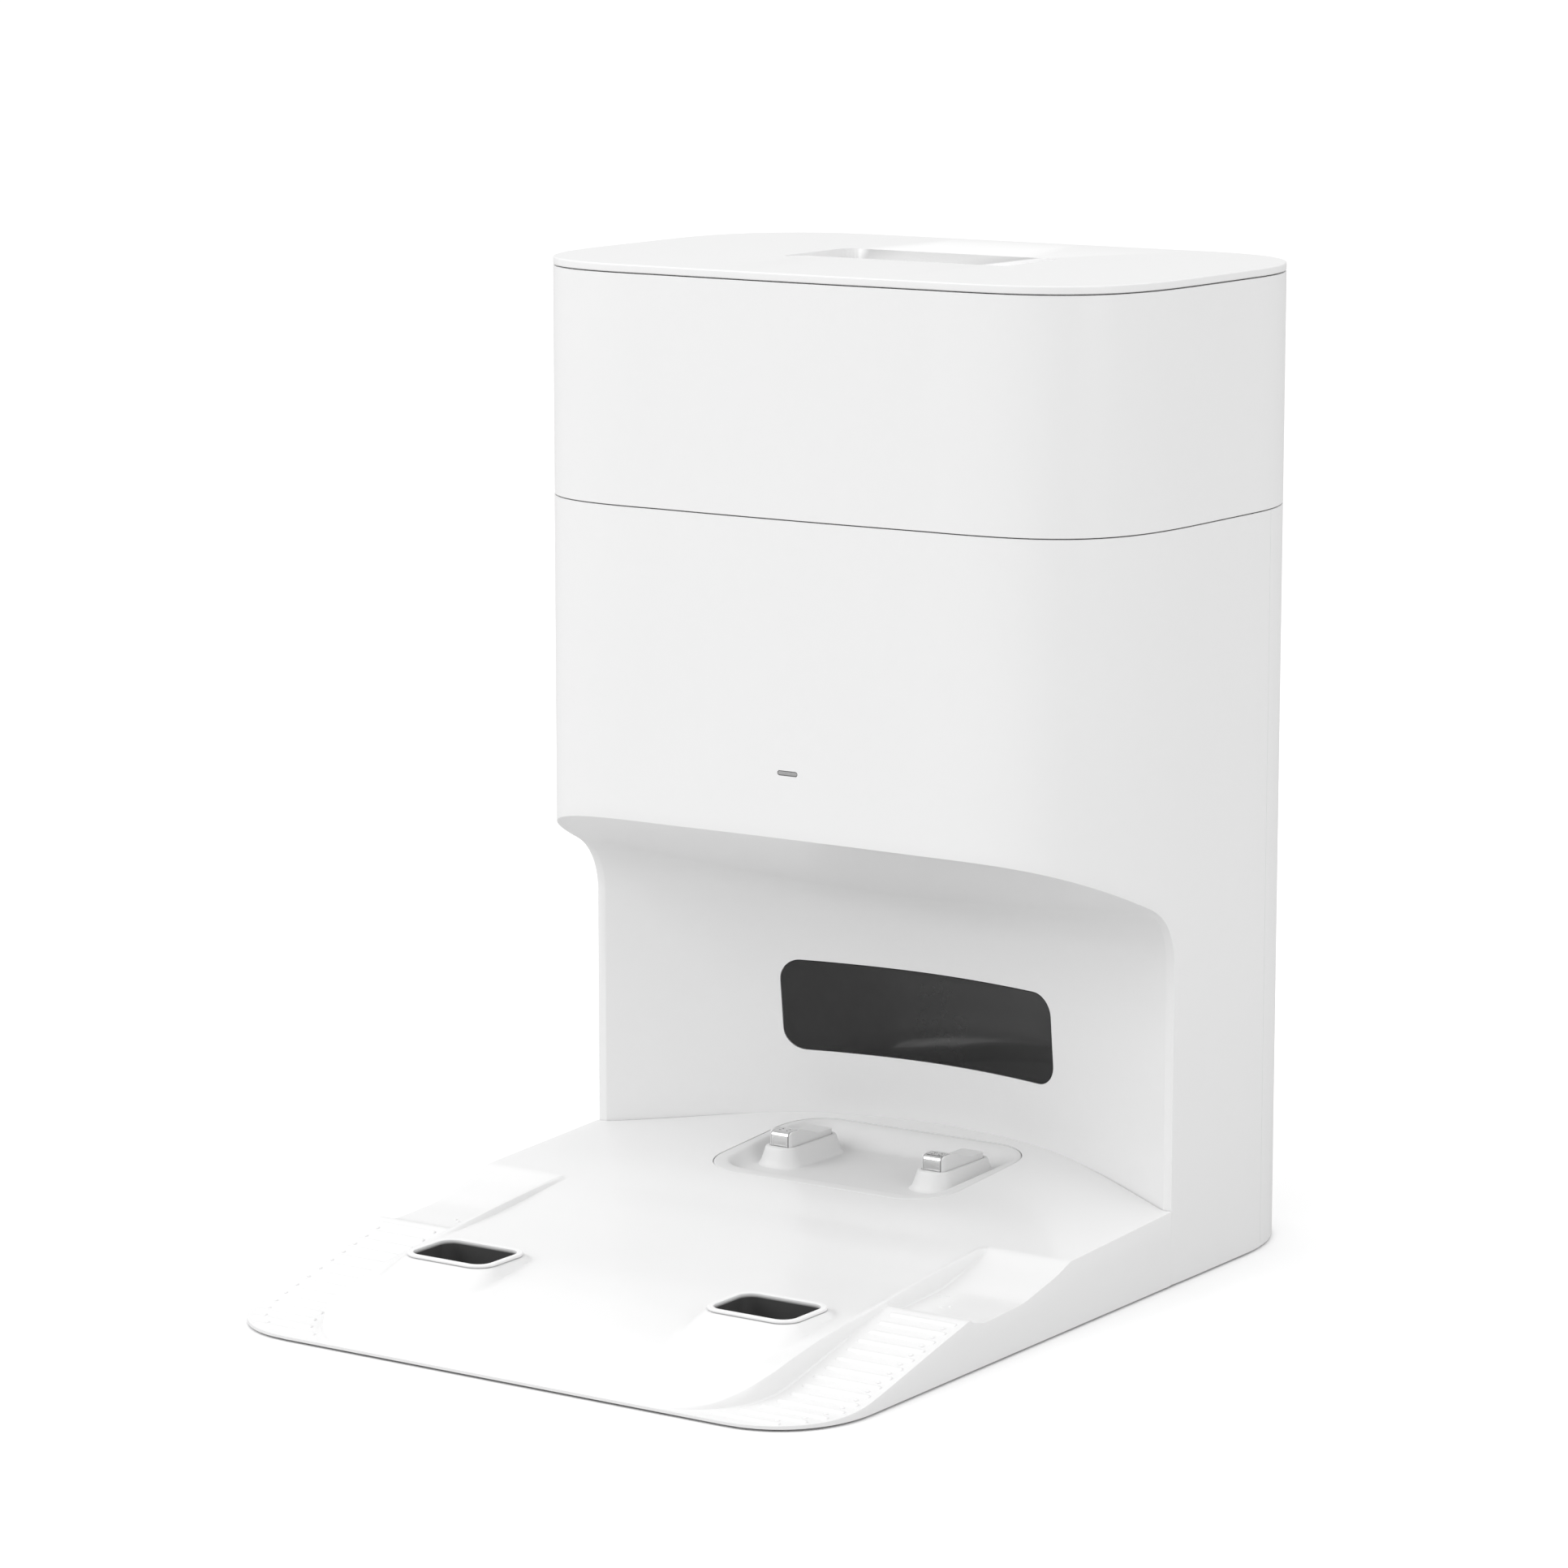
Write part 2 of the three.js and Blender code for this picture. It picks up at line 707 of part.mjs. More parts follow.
// Riser: carries the dust up behind the cavity, and its elbow turns it forward into the bag.
const riserBox = (inset, z0, z1) => box(
  [inset - riserHalf, riserHalf - inset],
  [riserY - riserDepth / 2 + inset, riserY + riserDepth / 2 - inset],
  [z0, z1],
);
const riserTop = inletZ + inletRadius + 6;
const riserFrontY = riserY - riserDepth / 2;
const spigotY = bayBack + fitGap;
const elbowLow = riserJointZ + 0.3;
add("riser_duct", cut(
  riserBox(0, trunkTop + 1.8, riserJointZ),
  riserBox(ductWall, trunkTop, riserJointZ + 1),
), "greyPlastic");
add("riser_elbow", cut(
  join(
    riserBox(0, elbowLow, riserTop),
    cylinderY(inletRadius + ductWall, spigotY, riserFrontY + 1, 28).translate([0, 0, inletZ]),
  ),
  riserBox(ductWall, elbowLow - 1, riserTop - ductWall),
  cylinderY(inletRadius, spigotY - 1, riserFrontY + ductWall + 1, 28).translate([0, 0, inletZ]),
), "greyPlastic");
add("riser_gasket", cut(
  riserBox(0, trunkTop + 0.3, trunkTop + 1.5),
  riserBox(ductWall + 0.4, trunkTop, trunkTop + 2),
), "rubber");

// ---------------------------------------------------------------- charging contacts

function contactTower() {
  const foot = roundedRectangle(
    towerWidth + 2 * towerFlare, towerLength + 2 * towerFlare, towerRound + towerFlare, 0, 0, 5);
  const top = roundedRectangle(towerWidth, towerLength, towerRound, 0, 0, 5);
  return loft([foot.map((p) => [p.x, p.y, trayFloor - 1]), top.map((p) => [p.x, p.y, towerTop])]);
}
const blockPrism = (clearance, z0, z1) => prism(
  roundedRectangle(blockWidth + 2 * clearance, blockLength + 2 * clearance, blockRound + clearance, 0, 0, 3),
  z0, z1);
const contactPlaces = [-1, 1].map((side) => [(side * contactSpacing) / 2, contactY]);
const springSeatZ = trayBottom - 7;

// The tray: a shallow dish with a hollow tower and a spring well for each contact.
function contactTray() {
  const body = common(prism(trayOutline(), trayBottom, 70), deckBlank());
  const y0 = cheekY - trayFront;
  const y1 = cheekY + trayRear;
  const ring = (inset, z) => roundedRectangle(
    2 * (trayHalf - inset), y1 - y0 - 2 * inset, Math.max(4, trayCorner - inset), 0, (y0 + y1) / 2, 6,
  ).map((p) => [p.x, p.y, z]);
  const dish = loft([ring(13, trayFloor), ring(-6, trayFloor + 24)]);
  const towers = contactPlaces.map(([x, y]) => contactTower().translate([x, y, 0]));
  const wells = contactPlaces.map(([x, y]) =>
    blockPrism(1.8, springSeatZ - 2, trayFloor).translate([x, y, 0]));
  const bores = contactPlaces.map(([x, y]) =>
    blockPrism(fitGap, springSeatZ, 70).translate([x, y, 0]));
  return cut(join(cut(body, dish), ...towers, ...wells), ...bores);
}
add("contact_tray", contactTray(), "whiteSatin");

const blockHalf = blockLength / 2;
const blockLow = towerTop - 9;
const plateEnd = 9.2;
const stripGap = 0.1;
const seatGap = stripThickness + 2 * stripGap + 0.1;

// The sliding block: high at the front where the strip bends over it, low at the rear.
function contactBlock() {
  const profile = [
    [-blockHalf, blockLow], [blockHalf, blockLow], [blockHalf, blockRearTop - 0.6],
    [blockHalf - 1, blockRearTop], [blockHalf - 14, blockRearTop], [-blockHalf + 15, blockTop - 1.6],
    [-blockHalf + 9, blockTop], [-blockHalf + 3, blockTop], [-blockHalf, blockTop - 3],
  ].map(vector);
  const body = common(prismX(profile, -blockWidth / 2, blockWidth / 2), blockPrism(0, 0, 70));
  const seat = common(
    box([-blockWidth / 2 + 1.2, blockWidth / 2 - 1.2], [-blockHalf - 2, -blockHalf + plateEnd + 0.4],
      [blockTop - 9.4, blockTop + 2]),
    cut(box([-20, 20], [-30, 30], [30, 70]),
      box([-20, 20], [-blockHalf + seatGap, 30], [30, blockTop - seatGap])),
  );
  return join(cut(body, seat), cylinder(2.2, blockLow - 4, blockLow + 1, 12));
}

// The metal strip, bent over the block's front edge.
function contactStrip() {
  const outer = -blockHalf + stripGap;
  const inner = outer + stripThickness;
  const top = blockTop - stripGap;
  const bend = 1.5;
  return prismX([
    [outer, blockTop - 9], [inner, blockTop - 9], [inner, top - stripThickness - 1.15],
    [inner + 1.15, top - stripThickness], [-blockHalf + plateEnd, top - stripThickness],
    [-blockHalf + plateEnd, top], [outer + bend, top], [outer, top - bend],
  ].map(vector), -blockWidth / 2 + 1.6, blockWidth / 2 - 1.6);
}

class Coil extends THREE.Curve {
  getPoint(t, target = new THREE.Vector3()) {
    const angle = t * coil.turns * 2 * Math.PI;
    const low = springSeatZ + coil.wire + 0.3;
    const high = blockLow - coil.wire - 0.3;
    return target.set(coil.radius * Math.cos(angle), coil.radius * Math.sin(angle), low + t * (high - low));
  }
}

function contactSpring() {
  const corners = 5;
  const wire = Array.from({ length: corners }, (_, i) => {
    const angle = (2 * Math.PI * i) / corners;
    return new THREE.Vector2(coil.wire * Math.cos(angle), coil.wire * Math.sin(angle));
  });
  return solidOf(new THREE.ExtrudeGeometry(new THREE.Shape(wire), {
    steps: 40,
    extrudePath: new Coil(),
    bevelEnabled: false,
  }));
}

for (const [index, [x, y]] of contactPlaces.entries()) {
  const name = index === 0 ? "left" : "right";
  const here = place(x, y, 0);
  add("contact_block_" + name, contactBlock(), "whiteSatin", here);
  add("contact_strip_" + name, contactStrip(), "nickel", here);
  add("contact_spring_" + name, contactSpring(), "steel", here);
}

// ---------------------------------------------------------------- lower housing

const coverScrewPlaces = screwSpots.map(([sx, sy]) => [sx * 88, sy > 0 ? bayFloorZ - 15 : 22]);
const windowHole = (grow) => roundedRectangle(
  windowWidth + 2 * grow, windowHeight + 2 * grow, windowRadius + grow, 0, windowCentreZ, 5);
const lightHole = (grow) => roundedRectangle(
  lightWidth + 2 * grow, lightHeight + 2 * grow, lightHeight / 2 + grow - 0.01, 0, lightZ, 3);
const inFrontOf = (y) => box([-halfWidth - 5, halfWidth + 5], [front - 5, y], [-5, height + 5]);
const behind = (y) => box([-halfWidth - 5, halfWidth + 5], [y, back + 50], [-5, height + 5]);
const fanFloorZ = fanTopZ - fanHeight;
const outletHalf = 15;
const outletClear = 2;
const outletX = riserHalf + outletClear + outletHalf;

function mainHousing() {
  const outer = common(bodyPrism(0, footDrop, lowerTopZ), inFrontOf(coverSeamY - seam / 2));
  const inner = cut(bodyPrism(shellWall, -5, height), cavity(shellWall));
  const posts = [[-1, -1], [1, -1], [-1, 1], [1, 1]].flatMap(([sx, sz]) => [
    cut(
      cylinderY(2.5, cheekY + 20, boardY - 0.3, 10).translate([sx * 33, 0, windowCentreZ + sz * 32]),
      cavity(1.5),
    ),
    cylinderY(1.8, bodyFront + 1.5, lightBoardY - 0.3, 8).translate([sx * 11, 0, lightZ + sz * 5]),
  ]);
  const windowFrame = common(
    prismY(windowHole(2.5), cheekY, chassisY - 3),
    cut(cavity(6), cavity(shellWall - 0.2)),
  );
  return cut(
    join(cut(outer, cavity(), inner), common(windowFrame, outer), ...posts),
    prismY(windowHole(fitGap), cheekY - 20, chassisY),
    prismY(lightHole(fitGap), bodyFront - 5, bodyFront + 10),
    box([-trunkHalf - 1, trunkHalf + 1], [cheekY, chassisY], [-5, trunkTop + 1]),
  );
}
add("main_housing", mainHousing(), "whiteShell");

// Smoked window that follows the curved wall, with the docking beacons behind it.
add("ir_window", common(
  prismY(windowHole(0), cheekY - 20, chassisY),
  cut(cavity(windowThick + 0.2), cavity(0.2)),
), "darkGloss");
add("ir_board", join(
  box([-40, 40], [boardY, boardY + boardThick], [windowCentreZ - 36, windowCentreZ + 36]),
  ...[-1, 0, 1].map((k) => cylinderY(2.5, boardY - 8.4, boardY + 0.5, 12)
    .translate([k * 22, 0, windowCentreZ])),
), "board");
add("status_light", prismY(lightHole(0), bodyFront + 0.1, bodyFront + 7), "lamp");
add("light_board", box(
  [-14, 14],
  [lightBoardY, lightBoardY + boardThick],
  [lightZ - 8, lightZ + 8],
), "board");

// Floor of the body. Its tongue reaches forward under the ramp and takes the ramp's screws.
const floorBlank = join(
  cut(bodyPrism(shellWall + fitGap, footDrop, floorTop), cavity(shellWall + fitGap)),
  common(
    prism(plateOutline(plateSkin + fitGap, seam + plateSkin + fitGap), footDrop, floorTop),
    behind(coverEndY + fitGap),
  ),
  box([-trunkHalf + 2, trunkHalf - 2], [cheekY - 20, cheekY + cavityDepth + 20], [footDrop, floorTop - 0.6]),
);
add("housing_floor", cut(
  floorBlank,
  ...plateScrewPlaces.map(([x, y]) => cylinder(screwRadius + holeGap, 0, 10, 12).translate([x, y, 0])),
  ...plateScrewPlaces.map(([x, y]) =>
    cylinder(headRadius + headGap, 0, footDrop + 1.2, 16).translate([x, y, 0])),
  ...rearFootPlaces.map(footPocket),
), "greyPlastic");

// Bulkhead that carries the fan outlet, the boards and the rear cover's screws.
const grilleX = outletX + 24;
const grille = { width: 78, height: 74, radius: 5, z: fanFloorZ + 24 };
const boardTopZ = bayFloorZ - 28.9;
const boardHeight = 86;
const boardBox = { x0: -142, x1: -44, z0: boardTopZ - boardHeight, z1: boardTopZ };
const mainBoardY = chassisY + 6;
const boardPosts = [
  [boardBox.x0 + 5, boardBox.z0 + 5], [boardBox.x1 - 5, boardBox.z0 + 5],
  [boardBox.x0 + 5, boardBox.z1 - 5], [boardBox.x1 - 5, boardBox.z1 - 5],
];
const chassis = cut(
  join(
    common(
      bodyPrism(shellWall + fitGap, floorTop + 0.3, bayFloorZ - 2),
      box([-halfWidth, halfWidth], [chassisY, chassisY + 2.5], [0, height]),
    ),
    ...coverScrewPlaces.map(([x, z]) => cylinderY(4.5, chassisY + 1, back - shellWall - 0.3, 12)
      .translate([x, 0, z])),
    ...boardPosts.map(([x, z]) => cylinderY(2.5, chassisY + 1, mainBoardY - 0.3, 8).translate([x, 0, z])),
  ),
  box([-trunkHalf - 1, trunkHalf + 1], [chassisY - 5, chassisY + 10], [0, trunkTop + 1]),
  box(
    [outletX - outletHalf - outletClear, outletX + outletHalf + outletClear],
    [chassisY - 5, chassisY + 10],
    [fanFloorZ - 2, fanFloorZ + 40],
  ),
  ...coverScrewPlaces.map(([x, z]) => cylinderY(screwRadius + pilotGap, back - 22, back, 8)
    .translate([x, 0, z])),
);
add("chassis_plate", chassis, "greyPlastic");

const inletPlace = { x: -96, z: 44 };
const inletSize = { x: 27, z: 20, depth: 22 };
const inletBlock = (grow, y0, y1) => box(
  [inletPlace.x - inletSize.x / 2 - grow, inletPlace.x + inletSize.x / 2 + grow],
  [y0, y1],
  [inletPlace.z - inletSize.z / 2 - grow, inletPlace.z + inletSize.z / 2 + grow],
);
function rearCover() {
  const outer = common(bodyPrism(0, footDrop, lowerTopZ), behind(coverSeamY + seam / 2));
  const heads = coverScrewPlaces.map(([x, z]) =>
    cylinderY(headRadius + headGap, back - headHeight - 0.3, back + 5, 16).translate([x, 0, z]));
  const holes = coverScrewPlaces.map(([x, z]) =>
    cylinderY(screwRadius + holeGap, back - 10, back + 5, 12).translate([x, 0, z]));
  const grilleHole = roundedRectangle(
    grille.width + 2 * fitGap, grille.height + 2 * fitGap, grille.radius, grilleX, grille.z);
  return cut(
    outer,
    bodyPrism(shellWall, -5, height),
    ...heads,
    ...holes,
    prismY(grilleHole, back - 10, back + 5),
    inletBlock(fitGap, back - 10, back + 5),
  );
}
add("rear_cover", rearCover(), "whiteShell");

// Exhaust: a filter block and its grille, set into the rear cover.
const slatCount = 9;
const slats = Array.from({ length: slatCount }, (_, i) => {
  const z = grille.z + ((i - (slatCount - 1) / 2) * (grille.height - 10)) / slatCount;
  const half = grille.width / 2 - 6;
  return box([grilleX - half, grilleX + half], [back - 10, back + 5], [z - 2.2, z + 2.2]);
});
add("exhaust_grille", cut(
  prismY(
    roundedRectangle(grille.width, grille.height, grille.radius, grilleX, grille.z),
    back - shellWall, back - 0.4,
  ),
  ...slats,
), "whiteSatin");
add("exhaust_filter", box(
  [grilleX - grille.width / 2 + 3, grilleX + grille.width / 2 - 3],
  [back - shellWall - 11, back - shellWall - 0.4],
  [grille.z - grille.height / 2 + 3, grille.z + grille.height / 2 - 3],
), "foam");

const inletSocket = { halfX: 9.5, halfZ: 5, deep: 16, pinRadius: 1.2, pinX: 4.3 };
add("power_inlet", cut(
  inletBlock(0, back - inletSize.depth, back - 0.6),
  cut(
    box(
      [inletPlace.x - inletSocket.halfX, inletPlace.x + inletSocket.halfX],
      [back - inletSocket.deep, back + 5],
      [inletPlace.z - inletSocket.halfZ, inletPlace.z + inletSocket.halfZ],
    ),
    ...[-1, 1].map((side) => cylinderY(inletSocket.pinRadius, back - inletSocket.deep - 1, back - 4, 8)
      .translate([inletPlace.x + side * inletSocket.pinX, 0, inletPlace.z])),
  ),
), "blackPlastic");

// The mains adapter, with cooling grooves across its rear face.
const supply = { z0: 70, z1: 170, depth: 33.2, grooves: 5, pitch: 17, groove: 6 };
const supplyRear = chassisY + 2.8 + supply.depth;
const grooves = Array.from({ length: supply.grooves }, (_, i) => {
  const z = supply.z0 + 12 + supply.pitch * i;
  return box([boardBox.x0 - 5, boardBox.x1 + 5], [supplyRear - 2, supplyRear + 4], [z, z + supply.groove]);
});
add("power_supply", cut(
  box([boardBox.x0, boardBox.x1], [chassisY + 2.8, supplyRear], [supply.z0, supply.z1]),
  ...grooves,
), "blackPlastic");
const chips = [
  { x: -110, up: 22, width: 16, height: 16, thick: 3 },
  { x: -74, up: 38, width: 22, height: 10, thick: 8 },
  { x: -120, up: 60, width: 10, height: 20, thick: 12 },
  { x: -80, up: 66, width: 14, height: 14, thick: 5 },
];
const mainBoardRear = mainBoardY + boardThick;
add("main_board", join(
  box([boardBox.x0, boardBox.x1], [mainBoardY, mainBoardRear], [boardBox.z0, boardBox.z1]),
  ...chips.map((chip) => box(
    [chip.x - chip.width / 2, chip.x + chip.width / 2],
    [mainBoardY + 1, mainBoardRear + chip.thick],
    [boardBox.z0 + chip.up - chip.height / 2, boardBox.z0 + chip.up + chip.height / 2],
  )),
), "board");

for (const [index, [x, z]] of coverScrewPlaces.entries()) {
  const here = place(x, back - headHeight - 0.1, z);
  add("cover_screw_" + (index + 1), join(
    cut(cylinderY(headRadius, 0, headHeight, 14), box([-2, 2], [headHeight - 0.7, 3], [-0.4, 0.4])),
    cylinderY(screwRadius - 0.1, -14, 0.2, 10),
  ), "steel", here);
}
for (const [index, [x, y]] of plateScrewPlaces.entries()) {
  const here = place(x, y, footDrop + 1.1);
  add("ramp_screw_" + (index + 1), join(
    cut(cylinder(headRadius, 0.1 - headHeight + 0.6, 0, 14), box([-2, 2], [-0.4, 0.4], [-3, -0.3])),
    cylinder(screwRadius - 0.1, -0.2, 12, 10),
  ), "steel", here);
}
const feet = {
  front_left: frontFootPlaces[0],
  front_right: frontFootPlaces[1],
  rear_left: rearFootPlaces[0],
  rear_right: rearFootPlaces[1],
};
for (const [name, [x, y]] of Object.entries(feet)) {
  add("foot_" + name, cylinder(footRadius, 0, footThick, 20), "rubber", place(x, y, 0));
}

// ---------------------------------------------------------------- fan

const fan = place(0, fanY, fanFloorZ);
const fanWall = 2.5;
const cupTop = fanHeight - 4;
const outletLength = back - shellWall - 11.4 - fanY;
add("fan_housing", cut(
  join(
    cylinder(fanRadius, 0, cupTop, 40),
    box([outletX - outletHalf, outletX + outletHalf], [0, outletLength], [0, 36]),
    box([-fanRadius, fanRadius], [fanRadius - 14, chassisY - fitGap - fanY], [48, 56]),
  ),
  cylinder(fanRadius - fanWall, fanWall, fanHeight, 40),
  box(
    [outletX - outletHalf + fanWall, outletX + outletHalf - fanWall],
    [0, outletLength + 5],
    [fanWall, 36 - fanWall],
  ),
), "greyPlastic", fan);
add("fan_mount", cut(
  cylinder(statorRadius + 6, fanWall + 0.3, fanWall + 7, 28),
  cylinder(statorRadius - 8, 0, 20, 28),
), "rubber", fan);
const statorTop = fanWall + 7.3 + 44;
add("fan_motor", cut(
  join(cylinder(statorRadius, fanWall + 7.3, statorTop, 32), cylinder(9, statorTop - 1, statorTop + 4, 20)),
  cylinder(shaftRadius + runningGap, fanWall + 3, statorTop + 10, 16),
), "steel", fan);
const impellerZ = statorTop + 6;
add("fan_shaft", cylinder(shaftRadius, fanWall + 10, impellerZ + 18, 16), "steel", fan);
const bladeCount = 9;
function impeller() {
  const blades = Array.from({ length: bladeCount }, (_, i) => {
    const outline = [];
    const steps = 4;
    for (const offset of [-0.9, 0.9]) {
      const side = [];
      for (let k = 0; k <= steps; k++) {
        const radius = 14 + ((impellerRadius - 15) * k) / steps;
        const angle = (0.9 * k) / steps + offset / radius;
        side.push([radius * Math.cos(angle), radius * Math.sin(angle)]);
      }
      outline.push(...(offset < 0 ? side : side.reverse()));
    }
    return prism(outline.map(vector), 1, 13).rotate([0, 0, (360 * i) / bladeCount]);
  });
  const hub = cylinder(11, 0, 15, 20);
  const disc = cylinder(impellerRadius, 0, 2, 36);
  return cut(join(disc, hub, ...blades), cylinder(shaftRadius + 0.03, -1, 20, 16));
}
add("fan_impeller", impeller().translate([0, 0, impellerZ]), "blackPlastic", fan);
add("fan_cover", cut(
  join(
    cylinder(fanRadius, cupTop + fitGap, fanHeight - 1, 40),
    cylinder(fanRadius - 2, fanHeight - 2, bayFloorZ - 0.3 - fanFloorZ, 40),
  ),
  cylinder(fanRadius - 4.5, fanHeight - 1, fanHeight + 10, 40),
  cylinder(30, 0, fanHeight + 10, 32),
), "greyPlastic", fan);

// ---------------------------------------------------------------- upper housing and bag bay

const barrelPlaces = [-hingeSpacing / 2, hingeSpacing / 2];
const pivotY = back + hingeReach - barrelRadius;
const pivotZ = lidSeamZ - 0.1;
const ledgeZ = deckZ - 2.6;
const pinBores = barrelPlaces.map((x) =>
  cylinderX(pinRadius + 0.25, x - 40, x + 40, 12).translate([0, pivotY, pivotZ]));
function upperHousing() {
  const shell = cut(
    bodyPrism(0, lowerTopZ + seam, lidSeamZ - seam),
    bodyPrism(shellWall, 0, height),
  );
  const ledge = cut(bodyPrism(shellWall - 0.5, ledgeZ - 2, ledgeZ), bodyPrism(shellWall + 5, 0, height));
  const lip = cut(
    bodyPrism(shellWall + fitGap, lowerTopZ - 5, lowerTopZ + 3),
    bodyPrism(shellWall + fitGap + 1.6, 0, height),
  );
  const lipJoin = cut(
    bodyPrism(shellWall - 0.5, lowerTopZ + seam, lowerTopZ + 3),
    bodyPrism(shellWall + fitGap + 1.6, 0, height),
  );
  const knuckles = barrelPlaces.flatMap((x) => [-1, 1].map((side) => {
    const inner = x + side * (knuckle / 2 + 0.3);
    const outer = x + side * (knuckle * 1.2);
    const ends = [inner, outer].sort((a, b) => a - b);
    return join(
      cylinderX(barrelRadius, ends[0], ends[1], 16).translate([0, pivotY, pivotZ]),
      box(ends, [back - shellWall, pivotY + 1], [pivotZ - barrelRadius - 5, pivotZ]),
    );
  }));
  const lidKnuckleRoom = barrelPlaces.map((x) =>
    cylinderX(barrelRadius + 0.5, x - knuckle / 2 - 0.3, x + knuckle / 2 + 0.3, 16)
      .translate([0, pivotY, pivotZ]));
  return cut(join(shell, ledge, lip, lipJoin, ...knuckles), ...lidKnuckleRoom, ...pinBores);
}
add("upper_housing", upperHousing(), "whiteShell");

const bayOutline = (inset, radius) => roundedRectangle(
  2 * (bayHalf + bayWall - inset), bayBack - bodyFront - bayFront - 2 * inset, radius, 0, bayMidY, 4);
const filterSize = { x: 84, y: 76, z: 10 };
const filterHole = (grow) => roundedRectangle(
  filterSize.x + 2 * grow, filterSize.y + 2 * grow, 6 + grow, 0, fanY, 3);
const switchPlace = { x: 138, y: bodyFront + 70 };
add("bag_bay", cut(
  join(
    bodyPrism(shellWall + fitGap, deckZ - deckThick, deckZ),
    prism(bayOutline(0, 14), bayFloorZ, deckZ - 1),
  ),
  prism(bayOutline(bayWall, 12), bayFloorZ + bayWall, height),
  prism(filterHole(fitGap), bayFloorZ - 5, height),
  cylinderY(inletRadius + 0.6, bayBack - 10, bayBack + 10, 28).translate([0, 0, inletZ]),
  cylinder(1.9, deckZ - 10, height, 12).translate([switchPlace.x, switchPlace.y, 0]),
), "whiteSatin");

// Pre-motor filter in its frame, in the floor of the bay.
add("filter_frame", cut(
  join(
    prism(filterHole(0), bayFloorZ - 2, bayFloorZ + bayWall + 3),
    prism(filterHole(4), bayFloorZ + bayWall + 0.4, bayFloorZ + bayWall + 3),
  ),
  prism(filterHole(-5), bayFloorZ - 10, height),
  prism(filterHole(-2), bayFloorZ + 0.6, height),
), "greyPlastic");
add("pre_motor_filter", prism(filterHole(-2.4), bayFloorZ + 1, bayFloorZ + filterSize.z), "foam");

// The bag hangs from a card collar that slides down into the bracket.
const bracketFront = bayBack - bayWall - 9;
const bracketHalf = 50;
add("bag_bracket", cut(
  box([-bracketHalf, bracketHalf], [bracketFront, bayBack - bayWall - fitGap], [inletZ - 40, inletZ + 32]),
  box([-bracketHalf + 4, bracketHalf - 4], [bracketFront + 2, bracketFront + 5.4], [inletZ - 36, height]),
  box([-bracketHalf + 9, bracketHalf - 9], [bracketFront - 5, bracketFront + 4], [inletZ - 30, height]),
  cylinderY(inletRadius + 2.6, bracketFront, bayBack + 5, 28).translate([0, 0, inletZ]),
), "greyPlastic");
add("inlet_seal", cut(
  cylinderY(inletRadius + 2.2, bracketFront + 5.8, bayBack - bayWall - fitGap, 28).translate([0, 0, inletZ]),
  cylinderY(inletRadius - 1.5, bracketFront, bayBack + 5, 28).translate([0, 0, inletZ]),
), "rubber");
add("bag_collar", cut(
  box(
    [-bracketHalf + 4.5, bracketHalf - 4.5],
    [bracketFront + 2.4, bracketFront + 5],
    [inletZ - 35.5, inletZ + 40],
  ),
  cylinderY(inletRadius - 2, bracketFront - 5, bracketFront + 20, 28).translate([0, 0, inletZ]),
  box([-14, 14], [bracketFront - 5, bracketFront + 20], [inletZ + 29, inletZ + 35]),
), "paper");
const bagTop = deckZ - 22;
const bagLow = bayFloorZ + filterSize.z + 4;
function dustBag() {
  const midY = (bodyFront + bayFront + bracketFront) / 2;
  const sizeY = bracketFront - bodyFront - bayFront - 14;
  const ring = (share, z) => roundedRectangle(2 * (bayHalf - 10) * share, sizeY * share, 20, 0, midY, 4)
    .map((p) => [p.x, p.y, z]);
  return join(
    loft([ring(0.86, bagLow), ring(1, bagLow + 14), ring(1, bagTop - 14), ring(0.86, bagTop)]),
    cylinderY(inletRadius + 4, midY, bracketFront + 2.1, 24).translate([0, 0, inletZ]),
  );
}
add("dust_bag", dustBag(), "paper");

// Microswitch that stops the fan while the lid is open, worked by a tab under the lid.
const switchTop = deckZ - deckThick - 0.4;
const plungerTop = lidSeamZ - 1;
add("lid_switch", cut(
  box(
    [switchPlace.x - 10, switchPlace.x + 10],
    [switchPlace.y - 3.2, switchPlace.y + 3.2],
    [switchTop - 11, switchTop],
  ),
  cylinder(1.9, switchTop - 8, switchTop + 2, 12).translate([switchPlace.x, switchPlace.y, 0]),
), "blackPlastic");
add("switch_plunger", cylinder(1.4, switchTop - 5, plungerTop, 12), "softWhite",
  place(switchPlace.x, switchPlace.y, 0));

const sealOutline = (inset) => roundedRectangle(
  2 * (bayHalf + 9 - inset), bayBack - bodyFront - bayFront + 14 - 2 * inset, 18, 0, bayMidY, 5);
add("lid_seal", cut(
  prism(sealOutline(0), deckZ + 0.3, deckZ + 4),
  prism(sealOutline(3.5), 0, height),
), "rubber");

// ---------------------------------------------------------------- lid

